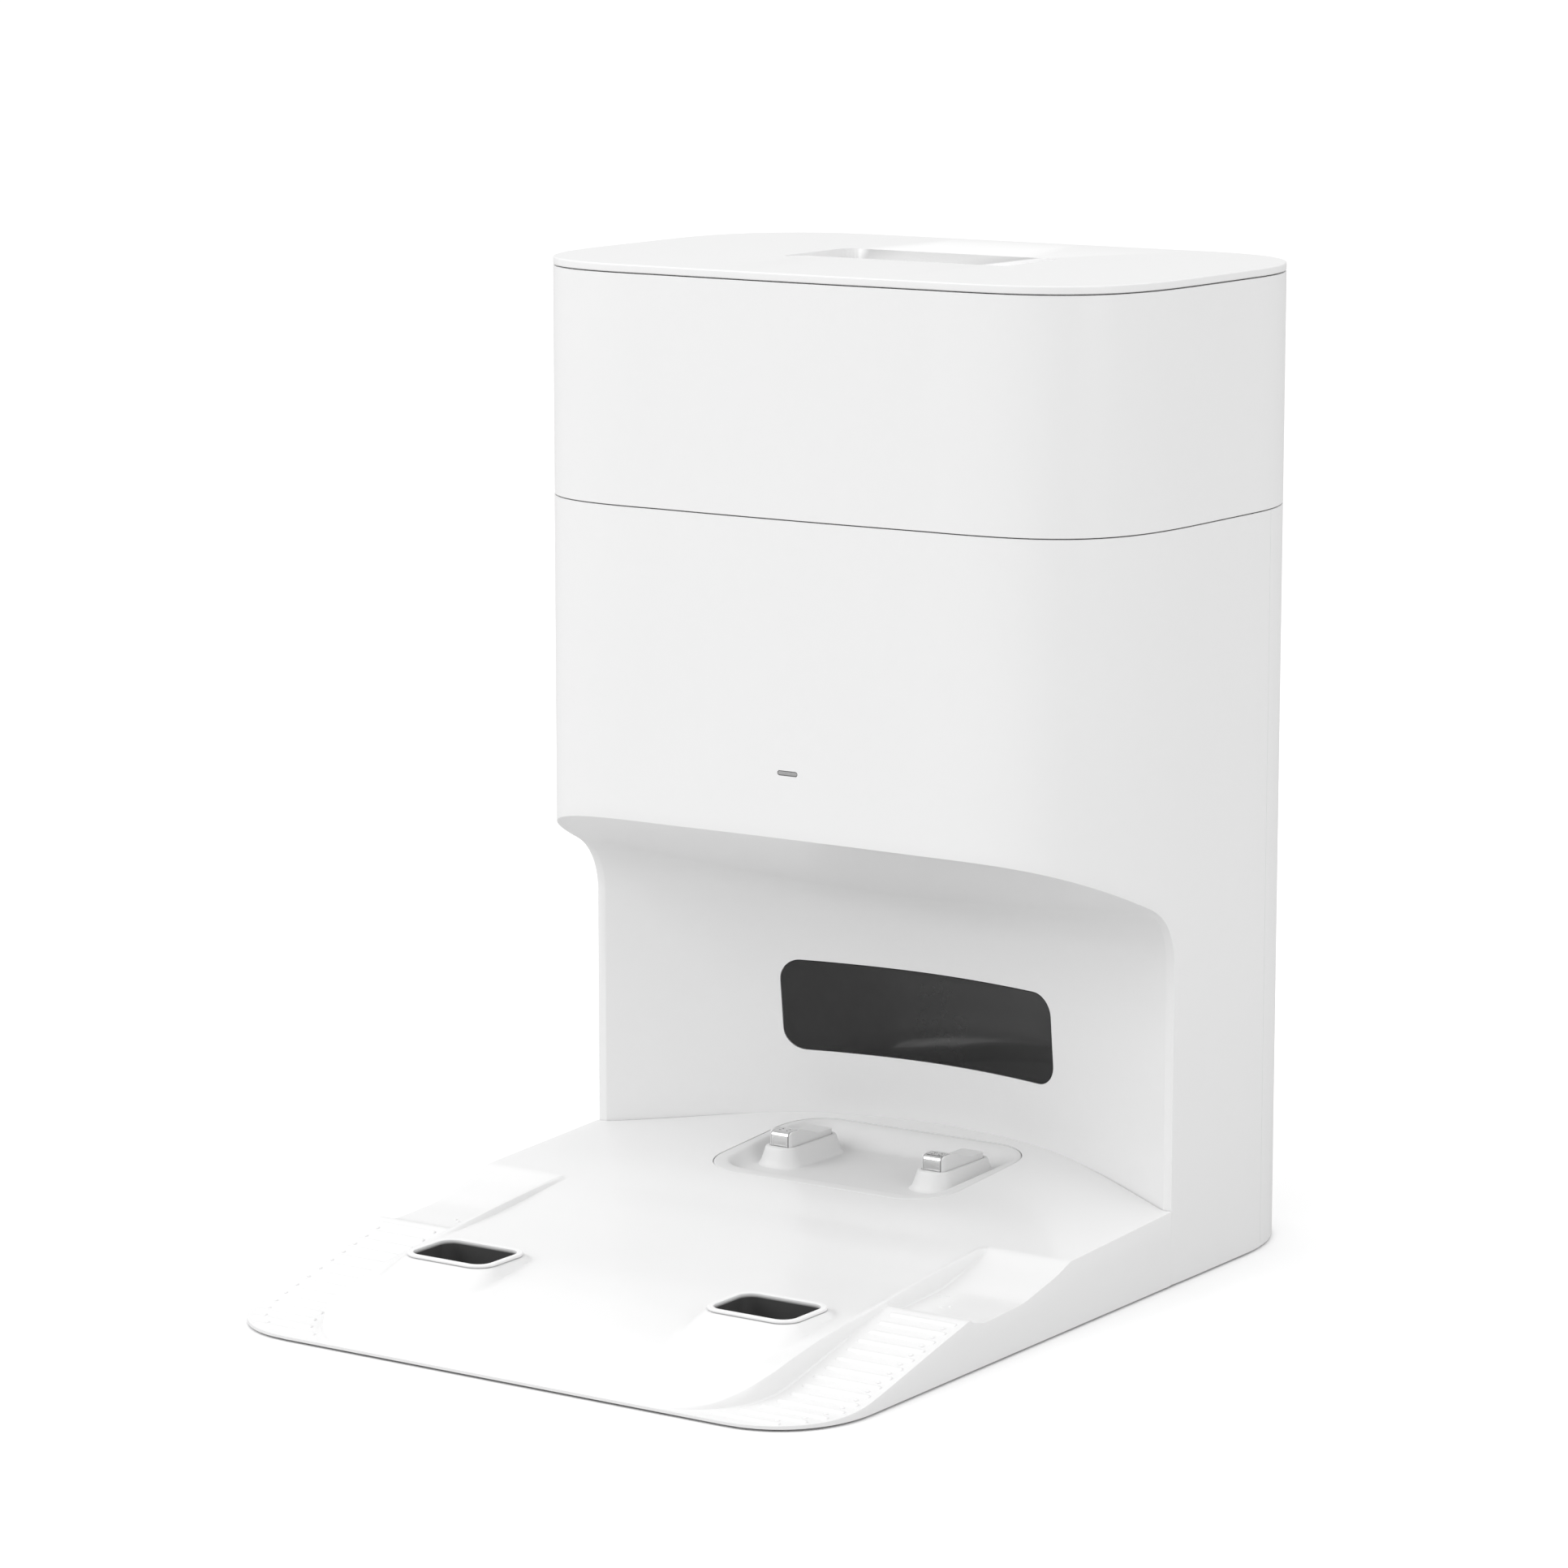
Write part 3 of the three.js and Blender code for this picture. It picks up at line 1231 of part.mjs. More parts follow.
const recessMidY = (bodyFront + back) / 2 + 1.2;
function lid() {
  const plate = bodyPrism(0, lidSeamZ, height);
  const skin = bodyPrism(shellWall, 0, height - 1.9);
  const rimInset = shellWall + 2.2;
  const rim = cut(
    bodyPrism(rimInset, lidSeamZ - 3.6, lidSeamZ + 3),
    bodyPrism(rimInset + 2, 0, height),
  );
  const cup = loft([
    roundedRectangle(recess.width + 4, recess.depth * 0.5 + 4, recess.radius, 0, recessMidY + recess.depth / 4)
      .map((p) => [p.x, p.y, height - recess.deep - 2]),
    roundedRectangle(recess.width + 4, recess.depth + 4, recess.radius + 2, 0, recessMidY)
      .map((p) => [p.x, p.y, height - 1]),
  ]);
  // The pocket slopes gently from its front edge and drops to its floor near its rear wall.
  const y0 = recessMidY - recess.depth / 2;
  const y1 = y0 + recess.depth;
  const pocketSide = prismX([
    [y0, height + 1],
    [y0, height - 0.4],
    [y0 + recess.depth * 0.5, height - 2.4],
    [y0 + recess.depth * 0.62, height - 6],
    [y0 + recess.depth * 0.68, height - recess.deep],
    [y1, height - recess.deep],
    [y1, height + 1],
  ].map(vector), -recess.width, recess.width);
  const pocket = common(
    pocketSide,
    prism(roundedRectangle(recess.width, recess.depth, recess.radius, 0, recessMidY), 0, height + 5),
  );
  const sealRib = cut(
    prism(sealOutline(0.6), deckZ + 4.3, lidSeamZ + 3),
    prism(sealOutline(2.6), 0, height),
  );
  const tab = cylinder(3.5, plungerTop + tabGap, lidSeamZ + 3, 12)
    .translate([switchPlace.x, switchPlace.y, 0]);
  const knuckles = barrelPlaces.map((x) => join(
    cylinderX(barrelRadius, x - knuckle / 2, x + knuckle / 2, 16).translate([0, pivotY, pivotZ]),
    box([x - knuckle / 2, x + knuckle / 2], [back - 4, pivotY + 1.5], [lidSeamZ + 0.4, lidSeamZ + 3]),
  ));
  const housingKnuckleRoom = barrelPlaces.flatMap((x) => [-1, 1].map((side) => {
    const ends = [x + side * (knuckle / 2 - 0.05), x + side * (knuckle * 1.2 + 0.4)].sort((a, b) => a - b);
    return cylinderX(barrelRadius + 0.5, ends[0], ends[1], 16).translate([0, pivotY, pivotZ]);
  }));
  const shell = join(cut(plate, cut(skin, cup)), rim, cup, sealRib, tab, ...knuckles);
  return cut(shell, pocket, ...housingKnuckleRoom, ...pinBores);
}
add("lid", lid(), "whiteShell");
for (const [index, x] of barrelPlaces.entries()) {
  add(index === 0 ? "hinge_pin_left" : "hinge_pin_right",
    cylinderX(pinRadius, -knuckle * 1.2, knuckle * 1.2, 12), "steel", place(x, pivotY, pivotZ));
}

export default root;
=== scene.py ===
import math
import random

import bpy
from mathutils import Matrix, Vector


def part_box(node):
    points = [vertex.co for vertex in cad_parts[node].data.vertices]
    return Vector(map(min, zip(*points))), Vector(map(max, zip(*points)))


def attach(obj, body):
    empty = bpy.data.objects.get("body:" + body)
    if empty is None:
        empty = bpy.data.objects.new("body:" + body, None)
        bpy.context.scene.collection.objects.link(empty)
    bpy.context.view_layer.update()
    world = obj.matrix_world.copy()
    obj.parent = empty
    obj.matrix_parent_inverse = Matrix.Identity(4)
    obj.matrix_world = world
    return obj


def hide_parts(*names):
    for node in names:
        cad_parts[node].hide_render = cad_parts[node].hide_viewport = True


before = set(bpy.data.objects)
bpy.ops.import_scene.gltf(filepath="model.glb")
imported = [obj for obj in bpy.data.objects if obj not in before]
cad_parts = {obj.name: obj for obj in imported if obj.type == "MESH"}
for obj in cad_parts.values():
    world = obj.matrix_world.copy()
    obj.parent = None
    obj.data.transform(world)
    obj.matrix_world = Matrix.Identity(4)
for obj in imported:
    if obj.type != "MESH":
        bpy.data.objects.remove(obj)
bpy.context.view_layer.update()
mm = 0.001
print("frame loaded")


# small helpers for working on one piece at a time

def deselectAll():
    if bpy.context.object and bpy.context.object.mode != "OBJECT":
        bpy.ops.object.mode_set(mode="OBJECT")
    bpy.ops.object.select_all(action="DESELECT")


def take(piece):
    deselectAll()
    piece.select_set(True)
    bpy.context.view_layer.objects.active = piece


def chooseFaces(piece, test):
    take(piece)
    bpy.ops.object.mode_set(mode="EDIT")
    bpy.ops.mesh.select_mode(type="FACE")
    bpy.ops.mesh.select_all(action="DESELECT")
    bpy.ops.object.mode_set(mode="OBJECT")
    for face in piece.data.polygons:
        face.select = test(face.center, face.normal)
    bpy.ops.object.mode_set(mode="EDIT")


def chooseEdges(piece, test):
    take(piece)
    bpy.ops.object.mode_set(mode="EDIT")
    bpy.ops.mesh.select_mode(type="EDGE")
    bpy.ops.mesh.select_all(action="DESELECT")
    bpy.ops.object.mode_set(mode="OBJECT")
    points = piece.data.vertices
    for edge in piece.data.edges:
        edge.select = test(points[edge.vertices[0]].co, points[edge.vertices[1]].co)
    bpy.ops.object.mode_set(mode="EDIT")


def modify(piece, kind, **settings):
    take(piece)
    made = piece.modifiers.new(kind.title(), kind)
    for name, value in settings.items():
        setattr(made, name, value)
    bpy.ops.object.modifier_apply(modifier=made.name)


def block(name, low, high):
    deselectAll()
    middle = [(a + b) / 2 for a, b in zip(low, high)]
    bpy.ops.mesh.primitive_cube_add(size=1, location=middle)
    piece = bpy.context.object
    piece.name = name
    piece.scale = [b - a for a, b in zip(low, high)]
    bpy.ops.object.transform_apply(location=True, rotation=True, scale=True)
    return piece


def drum(name, radius, low, high, sides=48, axis="Z"):
    # a cylinder between two points on a line along the axis
    deselectAll()
    middle = [(a + b) / 2 for a, b in zip(low, high)]
    turn = {"X": (0, math.pi / 2, 0), "Y": (math.pi / 2, 0, 0), "Z": (0, 0, 0)}[axis]
    length = (Vector(high) - Vector(low)).length
    bpy.ops.mesh.primitive_cylinder_add(vertices=sides, radius=radius, depth=length, location=middle,
                                        rotation=turn)
    piece = bpy.context.object
    piece.name = name
    bpy.ops.object.transform_apply(location=True, rotation=True, scale=True)
    return piece


def sheet(name, points, faces):
    mesh = bpy.data.meshes.new(name)
    mesh.from_pydata([tuple(point) for point in points], [], faces)
    piece = bpy.data.objects.new(name, mesh)
    bpy.context.scene.collection.objects.link(piece)
    return piece


def faceOut(piece, towards, near):
    # makes all faces agree, then turns them so that the one nearest to a point looks towards a direction
    take(piece)
    bpy.ops.object.mode_set(mode="EDIT")
    bpy.ops.mesh.select_all(action="SELECT")
    bpy.ops.mesh.remove_doubles(threshold=0.00001)
    bpy.ops.mesh.normals_make_consistent(inside=False)
    bpy.ops.object.mode_set(mode="OBJECT")
    closest = min(piece.data.polygons, key=lambda face: (face.center - Vector(near)).length)
    if closest.normal.dot(Vector(towards)) < 0:
        bpy.ops.object.mode_set(mode="EDIT")
        bpy.ops.mesh.flip_normals()
        bpy.ops.object.mode_set(mode="OBJECT")


def roundUpright(piece, radius, segments=8, profile=0.5, where=lambda point: True):
    def upright(a, b):
        return abs(a.x - b.x) + abs(a.y - b.y) < 1e-6 and abs(a.z - b.z) > 1e-5 and where(a)

    chooseEdges(piece, upright)
    bpy.ops.mesh.bevel(offset=radius, segments=segments, profile=profile, affect="EDGES",
                       clamp_overlap=False)
    bpy.ops.object.mode_set(mode="OBJECT")


def subtract(piece, *tools):
    for tool in tools:
        modify(piece, "BOOLEAN", operation="DIFFERENCE", object=tool, solver="EXACT")
        bpy.data.objects.remove(tool)


def unite(piece, *others):
    for other in others:
        modify(piece, "BOOLEAN", operation="UNION", object=other, solver="EXACT")
        bpy.data.objects.remove(other)


def keepInside(piece, tool):
    modify(piece, "BOOLEAN", operation="INTERSECT", object=tool, solver="EXACT")
    bpy.data.objects.remove(tool)


def agreeNormals(piece):
    take(piece)
    bpy.ops.object.mode_set(mode="EDIT")
    bpy.ops.mesh.select_all(action="SELECT")
    bpy.ops.mesh.normals_make_consistent(inside=False)
    bpy.ops.object.mode_set(mode="OBJECT")


def soften(piece, width, segments=3, angle=35):
    # rounds every edge sharper than the angle and shades the piece smooth
    modify(piece, "BEVEL", width=width, segments=segments, limit_method="ANGLE",
           angle_limit=math.radians(angle), harden_normals=False, miter_outer="MITER_ARC")
    smooth(piece)


def smooth(piece, angle=35, weighted=True):
    take(piece)
    bpy.ops.object.shade_smooth_by_angle(angle=math.radians(angle))
    if weighted:
        modify(piece, "WEIGHTED_NORMAL", keep_sharp=True, weight=50)


def copyOf(piece, name, move=(0, 0, 0), mirror=False):
    twin = piece.copy()
    twin.data = piece.data.copy()
    twin.name = name
    bpy.context.scene.collection.objects.link(twin)
    for point in twin.data.vertices:
        if mirror:
            point.co.x = -point.co.x
        point.co += Vector(move)
    if mirror:
        take(twin)
        bpy.ops.object.mode_set(mode="EDIT")
        bpy.ops.mesh.select_all(action="SELECT")
        bpy.ops.mesh.flip_normals()
        bpy.ops.object.mode_set(mode="OBJECT")
    return twin


def gather(name, pieces):
    deselectAll()
    for piece in pieces:
        piece.select_set(True)
    bpy.context.view_layer.objects.active = pieces[0]
    bpy.ops.object.join()
    pieces[0].name = name
    return pieces[0]


# shader maths: an expression on signals adds its own nodes

class Signal:
    def __init__(self, finish, socket):
        self.finish = finish
        self.socket = socket

    def combine(self, operation, first, second):
        return self.finish.node("ShaderNodeMath", {"operation": operation}, {0: first, 1: second})

    def __add__(self, other):
        return self.combine("ADD", self, other)

    __radd__ = __add__

    def __mul__(self, other):
        return self.combine("MULTIPLY", self, other)

    __rmul__ = __mul__

    def __sub__(self, other):
        return self.combine("SUBTRACT", self, other)

    def __rsub__(self, other):
        return self.combine("SUBTRACT", other, self)

    def __pow__(self, other):
        return self.combine("POWER", self, other)


class Finish:
    def __init__(self, name):
        self.material = bpy.data.materials.new(name)
        self.material.use_nodes = True
        self.tree = self.material.node_tree
        self.tree.nodes.clear()
        self.objectPlace = self.node("ShaderNodeTexCoord", output="Object")

    def node(self, kind, settings=None, inputs=None, output=0):
        made = self.tree.nodes.new(kind)
        for name, value in (settings or {}).items():
            if name == "stops":
                ramp = made.color_ramp
                while len(ramp.elements) < len(value):
                    ramp.elements.new(0.5)
                for element, (position, colour) in zip(ramp.elements, value):
                    element.position = position
                    element.color = colour
            else:
                setattr(made, name, value)
        for name, value in (inputs or {}).items():
            if isinstance(value, Signal):
                self.tree.links.new(value.socket, made.inputs[name])
            else:
                made.inputs[name].default_value = value
        return Signal(self, made.outputs[output])

    def noise(self, scale, detail=3, roughness=0.5, stretch=None):
        where = self.objectPlace
        if stretch:
            where = self.node("ShaderNodeMapping", None, {"Vector": where, "Scale": stretch})
        return self.node("ShaderNodeTexNoise", None,
                         {"Vector": where, "Scale": scale, "Detail": detail, "Roughness": roughness})

    def blend(self, share, first, second):
        made = self.node("ShaderNodeMix", {"data_type": "RGBA"}, None, 2)
        mix = made.socket.node
        for slot, value in ((0, share), (6, first), (7, second)):
            if isinstance(value, Signal):
                self.tree.links.new(value.socket, mix.inputs[slot])
            else:
                mix.inputs[slot].default_value = value
        return made

    def bump(self, height, strength, distance=0.0002):
        return self.node("ShaderNodeBump", None,
                         {"Height": height, "Strength": strength, "Distance": distance})

    def close(self, colour, roughness, normal=None, **fixed):
        inputs = {"Base Color": colour, "Roughness": roughness}
        if normal is not None:
            inputs["Normal"] = normal
        shader = self.node("ShaderNodeBsdfPrincipled", None, inputs)
        for name, value in fixed.items():
            shader.socket.node.inputs[name.replace("_", " ")].default_value = value
        out = self.tree.nodes.new("ShaderNodeOutputMaterial")
        self.tree.links.new(shader.socket, out.inputs["Surface"])
        return self.material


def grey(value, warm=0.0):
    return (value, value * (1 - warm * 0.4), value * (1 - warm), 1)


def mouldedPlastic(name, light, dark, roughness, texture, grain=1800, coat=0.0, specular=0.5):
    # moulded plastic: a faint drift of tone, uneven gloss and a fine spark-eroded grain
    finish = Finish(name)
    drift = finish.noise(9, 2)
    cloud = finish.noise(140, 4, 0.6)
    fine = finish.noise(grain, 2)
    colour = finish.blend(drift * 0.6 + cloud * 0.4, dark, light)
    gloss = cloud * 0.10 + (roughness - 0.05)
    height = fine * 0.7 + cloud * 0.3
    return finish.close(colour, gloss, finish.bump(height, texture, 0.00006),
                        Coat_Weight=coat, Coat_Roughness=0.12, Specular_IOR_Level=specular)


shellPlastic = mouldedPlastic("shell plastic", grey(0.80), grey(0.775), 0.36, 0.10, 2600, 0.2)
satinPlastic = mouldedPlastic("satin plastic", grey(0.71), grey(0.69), 0.48, 0.16, 2200)
greyPlastic = mouldedPlastic("grey plastic", grey(0.36), grey(0.31), 0.55, 0.25, 1500)
blackPlastic = mouldedPlastic("black plastic", grey(0.035), grey(0.022), 0.5, 0.3, 1400)
softSleeve = mouldedPlastic("soft sleeve", grey(0.80), grey(0.77), 0.55, 0.2, 1900)
darkRubber = mouldedPlastic("dark rubber", grey(0.06), grey(0.04), 0.82, 0.45, 900)
print("plastics mixed")


def dress(piece, body, finish, slot, *nodes):
    piece.data.materials.clear()
    piece.data.materials.append(finish)
    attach(piece, body)
    if nodes:
        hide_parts(*nodes)


# the tower's plan, shared by the shells and the lid
tower = {
    "half": 0.170, "front": 0.0015, "back": 0.230, "bow": 0.0012,
    "frontCorner": (0.098, 0.109, 3.5), "rearCorner": (0.075, 0.078, 2.3),
    "lowTop": 0.36785, "upperLow": 0.36835, "upperTop": 0.4809, "lidLow": 0.4814, "top": 0.4853,
    "seamY": 0.1685, "floor": 0.0012, "wall": 0.003,
}


def towerFrontY(x):
    sizeX, sizeY, power = tower["frontCorner"]
    straight = tower["half"] - sizeX
    if abs(x) <= straight:
        return tower["front"] + tower["bow"] * (x / straight) ** 2
    along = min(1, (abs(x) - straight) / sizeX)
    return tower["front"] + tower["bow"] + sizeY * (1 - (1 - along ** power) ** (1 / power))


def towerSideX(y):
    # half the tower's width at y, ahead of the rear corners or inside them
    sizeX, sizeY, power = tower["frontCorner"]
    end = tower["front"] + tower["bow"] + sizeY
    if y < end:
        away = min(1, (end - y) / sizeY)
        return tower["half"] - sizeX + sizeX * (1 - away ** power) ** (1 / power)
    backX, backY, backPower = tower["rearCorner"]
    start = tower["back"] - backY
    if y > start:
        along = min(1, (y - start) / backY)
        return tower["half"] - backX + backX * (1 - along ** backPower) ** (1 / backPower)
    return tower["half"]


def towerBlock(name, low, high, inset=0.0, grow=1.0):
    # a cube whose four upright edges are rounded to the tower's plan
    half = tower["half"] - inset
    front = tower["front"] + tower["bow"] + inset
    back = tower["back"] - inset
    piece = block(name, (-half, front, low), (half, back, high))
    for key, edgeY, segments in (("frontCorner", front, 22), ("rearCorner", back, 18)):
        sizeX, sizeY, power = tower[key]
        width, deep = sizeX - inset, sizeY - inset
        profile = 2 ** (-2 / power)
        roundUpright(piece, width, int(segments * grow), profile,
                     lambda point: abs(point.y - edgeY) < 1e-5)
        inside = width + 1e-5
        for point in piece.data.vertices:
            if abs(point.co.y - edgeY) < inside and abs(point.co.x) > half - inside:
                point.co.y = edgeY + (point.co.y - edgeY) * deep / width
    # the flat front bows out a little
    straight = tower["half"] - tower["frontCorner"][0]
    for share in (-0.67, -0.33, 0, 0.33, 0.67):
        chooseFaces(piece, lambda centre, normal: True)
        bpy.ops.mesh.bisect(plane_co=(share * straight, 0, 0), plane_no=(1, 0, 0))
        bpy.ops.object.mode_set(mode="OBJECT")
    for point in piece.data.vertices:
        if abs(point.co.y - front) < 1e-5:
            point.co.y -= tower["bow"] * (1 - (point.co.x / straight) ** 2)
    return piece


# lower shell: the front of the tower with the docking cavity under it
cavity = {
    "side": 0.165, "cheekY": 0.080, "depth": 0.057, "power": 1.9, "lean": 0.018, "footZ": 0.038,
    "topZ": 0.160,
    "lipZ": 0.214, "slope": math.tan(math.radians(23.5)), "fillet": 0.032, "lipEndY": 0.020,
    "wallRows": 22, "arcSteps": 12, "roofRows": 18, "halfStations": 36, "upRows": 26, "edge": 0.0016,
}


def cavityProfile(x):
    # points (y, z) up the cavity's wall and round into its roof
    bow = 1 - min(1, abs(x) / cavity["side"]) ** cavity["power"]
    footY = cavity["cheekY"] + cavity["depth"] * bow
    lean = cavity["lean"] * bow / (cavity["topZ"] - cavity["footZ"])
    slope = cavity["slope"]
    meetZ = (cavity["lipZ"]
             - slope * (footY + lean * cavity["footZ"] - tower["front"])) / (1 - slope * lean)
    corner = Vector((footY - lean * (meetZ - cavity["footZ"]), meetZ))
    down = Vector((lean, -1)).normalized()
    out = Vector((-1, slope)).normalized()
    half = down.angle(out) / 2
    centre = corner + (down + out).normalized() * cavity["fillet"] / math.sin(half)
    start = corner + down * cavity["fillet"] / math.tan(half)
    low = Vector((footY - lean * (tower["floor"] - cavity["footZ"]), tower["floor"]))
    points = [low.lerp(start, i / cavity["wallRows"]) for i in range(cavity["wallRows"] + 1)]
    spoke = start - centre
    for i in range(1, cavity["arcSteps"] + 1):
        angle = (math.pi - 2 * half) * i / cavity["arcSteps"]
        turned = Vector((
            spoke.x * math.cos(angle) - spoke.y * math.sin(angle),
            spoke.x * math.sin(angle) + spoke.y * math.cos(angle)))
        points.append(centre + turned)
    return points


def makeLowerShell():
    count = cavity["halfStations"]
    inner = [cavity["side"] * math.sin(math.pi / 2 * i / count) for i in range(-count, count + 1)]
    profiles = {x: cavityProfile(x) for x in inner}
    sideProfile = cavityProfile(cavity["side"])
    rows = []
    for j, (sideY, sideZ) in enumerate(sideProfile):
        edgeX = towerSideX(sideY)
        row = [Vector((-edgeX, sideY, sideZ))]
        row += [Vector((x, *profiles[x][j])) for x in inner]
        rows.append(row + [Vector((edgeX, sideY, sideZ))])
    # the roof is drawn in from the last row of the fillet to the lip
    low = rows[-1]
    wide = low[-1].x
    startY = low[-1].y
    lipX = towerSideX(cavity["lipEndY"])
    lip = [Vector((point.x / wide * lipX, towerFrontY(point.x / wide * lipX), 0)) for point in low]
    for k in range(1, cavity["roofRows"] + 1):
        share = k / cavity["roofRows"]
        endY = startY + (cavity["lipEndY"] - startY) * share
        endX = towerSideX(endY)
        row = []
        for a, b in zip(low, lip):
            s = (a.x + wide) / (2 * wide)
            x = (1 - share) * a.x + share * b.x + (2 * s - 1) * (endX - (1 - share) * wide - share * lipX)
            y = (1 - share) * a.y + share * b.y + endY - (1 - share) * startY - share * cavity["lipEndY"]
            row.append(Vector((x, y, cavity["lipZ"] - cavity["slope"] * (y - tower["front"]))))
        rows.append(row)
    points, grid = [], []
    for row in rows:
        grid.append(list(range(len(points), len(points) + len(row))))
        points += row
    faces = []
    for lower, upper in zip(grid, grid[1:]):
        faces += [(lower[i], lower[i + 1], upper[i + 1], upper[i]) for i in range(len(lower) - 1)]
    # outer wall: one column of points over each point of the edge, from one rear seam to the other
    wallRows, upRows, top = cavity["wallRows"], cavity["upRows"], tower["lowTop"]
    heights = [rows[j][-1].z for j in range(wallRows + 1)]
    heights += [heights[-1] + (top - heights[-1]) * i / upRows for i in range(1, upRows + 1)]
    sideYs = [tower["seamY"], 0.160, 0.152, 0.138, 0.1247, 0.1117, 0.106, 0.100, 0.094, 0.088, 0.084]

    def fullColumn(sign, y):
        first = len(points)
        points.extend(Vector((sign * towerSideX(y), y, z)) for z in heights)
        return list(range(first, first + len(heights)))

    def upColumn(start):
        base = points[start]
        first = len(points)
        points.extend(Vector((base.x, base.y,
                              base.z + (top - base.z) * i / upRows)) for i in range(1, upRows + 1))
        return [start] + list(range(first, first + upRows))

    def sweep(columns):
        for a, b in zip(columns, columns[1:]):
            short = min(len(a), len(b))
            a, b = a[-short:], b[-short:]
            faces.extend((a[i], b[i], b[i + 1], a[i + 1]) for i in range(short - 1))

    right = [fullColumn(1, y) for y in sideYs]
    cheekRight = [grid[j][-1] for j in range(wallRows)] + upColumn(grid[wallRows][-1])
    edge = [grid[j][-1] for j in range(wallRows + 1, len(grid))]
    edge += [grid[-1][i] for i in range(len(grid[-1]) - 2, -1, -1)]
    edge += [grid[j][0] for j in range(len(grid) - 2, wallRows, -1)]
    cheekLeft = [grid[j][0] for j in range(wallRows)] + upColumn(grid[wallRows][0])
    left = [fullColumn(-1, y) for y in reversed(sideYs)]
    sweep([*right, cheekRight, *[upColumn(i) for i in edge], cheekLeft, *left])
    piece = sheet("lowerShell", points, faces)
    faceOut(piece, (0, -1, 0), (0, 0.0015, 0.3))
    return piece


lowerShell = makeLowerShell()
# the edge of the cavity is rounded before the sheet gets its thickness
chooseEdges(lowerShell, lambda a, b: False)
bpy.ops.mesh.edges_select_sharp(sharpness=math.radians(28))
bpy.ops.mesh.bevel(offset=cavity["edge"], segments=4, affect="EDGES", clamp_overlap=True)
bpy.ops.object.mode_set(mode="OBJECT")
modify(lowerShell, "SOLIDIFY", thickness=tower["wall"], offset=-1, use_even_offset=False)
window = {"half": 0.080, "low": 0.080, "high": 0.127, "radius": 0.011, "gap": 0.00035}


def uprightPlate(name, half, low, high, y0, y1, radius, centreX=0.0, segments=10):
    # a block in the XZ plane with its four corners rounded along Y
    piece = block(name, (centreX - half, y0, low), (centreX + half, y1, high))
    chooseEdges(piece, lambda a, b: abs(a.y - b.y) > 1e-5)
    bpy.ops.mesh.bevel(offset=radius, segments=segments, affect="EDGES", clamp_overlap=False)
    bpy.ops.object.mode_set(mode="OBJECT")
    return piece


lamp = {"half": 0.0055, "low": 0.2451, "high": 0.2469}
gap = window["gap"]
smooth(lowerShell, 30, weighted=False)
subtract(lowerShell,
         uprightPlate("windowCut", window["half"] + gap, window["low"] - gap, window["high"] + gap,
                      0.095, 0.150, window["radius"] + gap),
         uprightPlate("lampCut", lamp["half"] + gap, lamp["low"] - gap, lamp["high"] + gap, -0.004, 0.010,
                      0.00124))
smooth(lowerShell, 30, weighted=False)
dress(lowerShell, "station", shellPlastic, "shell_white", "main_housing")
print("lower shell made")


# window: a smoked pane that follows the cavity's wall
def makeWindow():
    steps, rows = 48, 16
    points, faces = [], []

    def wallY(x, z):
        low, start = cavityProfile(x)[0], cavityProfile(x)[cavity["wallRows"]]
        return low.x + (start.x - low.x) * (z - low.y) / (start.y - low.y)

    for j in range(rows + 1):
        z = window["low"] - 0.004 + (window["high"] - window["low"] + 0.008) * j / rows
        for i in range(steps + 1):
            x = (window["half"] + 0.004) * (2 * i / steps - 1)
            points.append((x, wallY(x, z) + 0.0001, z))
    for j in range(rows):
        for i in range(steps):
            a = j * (steps + 1) + i
            faces.append((a, a + 1, a + steps + 2, a + steps + 1))
    pane = sheet("windowPane", points, faces)
    faceOut(pane, (0, -1, 0), (0, 0.12, 0.1))
    modify(pane, "SOLIDIFY", thickness=0.0022, offset=-1)
    outline = uprightPlate("paneOutline", window["half"], window["low"], window["high"], 0.095, 0.150,
                           window["radius"])
    keepInside(pane, outline)
    soften(pane, 0.0003, 2, 50)
    return pane


def smokedGlass():
    finish = Finish("smoked pane")
    haze = finish.noise(60, 3, 0.6)
    dust = finish.noise(900, 2)
    colour = finish.blend(haze, grey(0.010), grey(0.016))
    gloss = haze * 0.05 + dust * 0.02 + 0.06
    return finish.close(colour, gloss, finish.bump(haze, 0.02, 0.0003), Coat_Weight=0.1,
                        Coat_Roughness=0.04, Specular_IOR_Level=0.35)


windowPane = makeWindow()
dress(windowPane, "station", smokedGlass(), "smoked_window", "ir_window")

statusLens = uprightPlate("statusLens", lamp["half"], lamp["low"], lamp["high"], 0.0016, 0.0085, 0.00088)
soften(statusLens, 0.0002, 2, 50)
lensFinish = Finish("status lens")
lensTone = lensFinish.noise(700, 2)
dress(statusLens, "station",
      lensFinish.close(lensFinish.blend(lensTone, grey(0.30), grey(0.36)), lensTone * 0.1 + 0.3,
                       lensFinish.bump(lensTone, 0.1, 0.0001)), "status_lamp", "status_light")


# rear shell, with its grille opening, inlet opening and screw recesses
grille = {"x": 0.072, "z": 0.2869, "half": 0.039, "tall": 0.037, "slats": 9}
inlet = {"x": -0.096, "z": 0.044, "half": 0.0135, "tall": 0.010}
coverScrews = [(-0.088, 0.3399), (0.088, 0.3399), (-0.088, 0.022), (0.088, 0.022)]


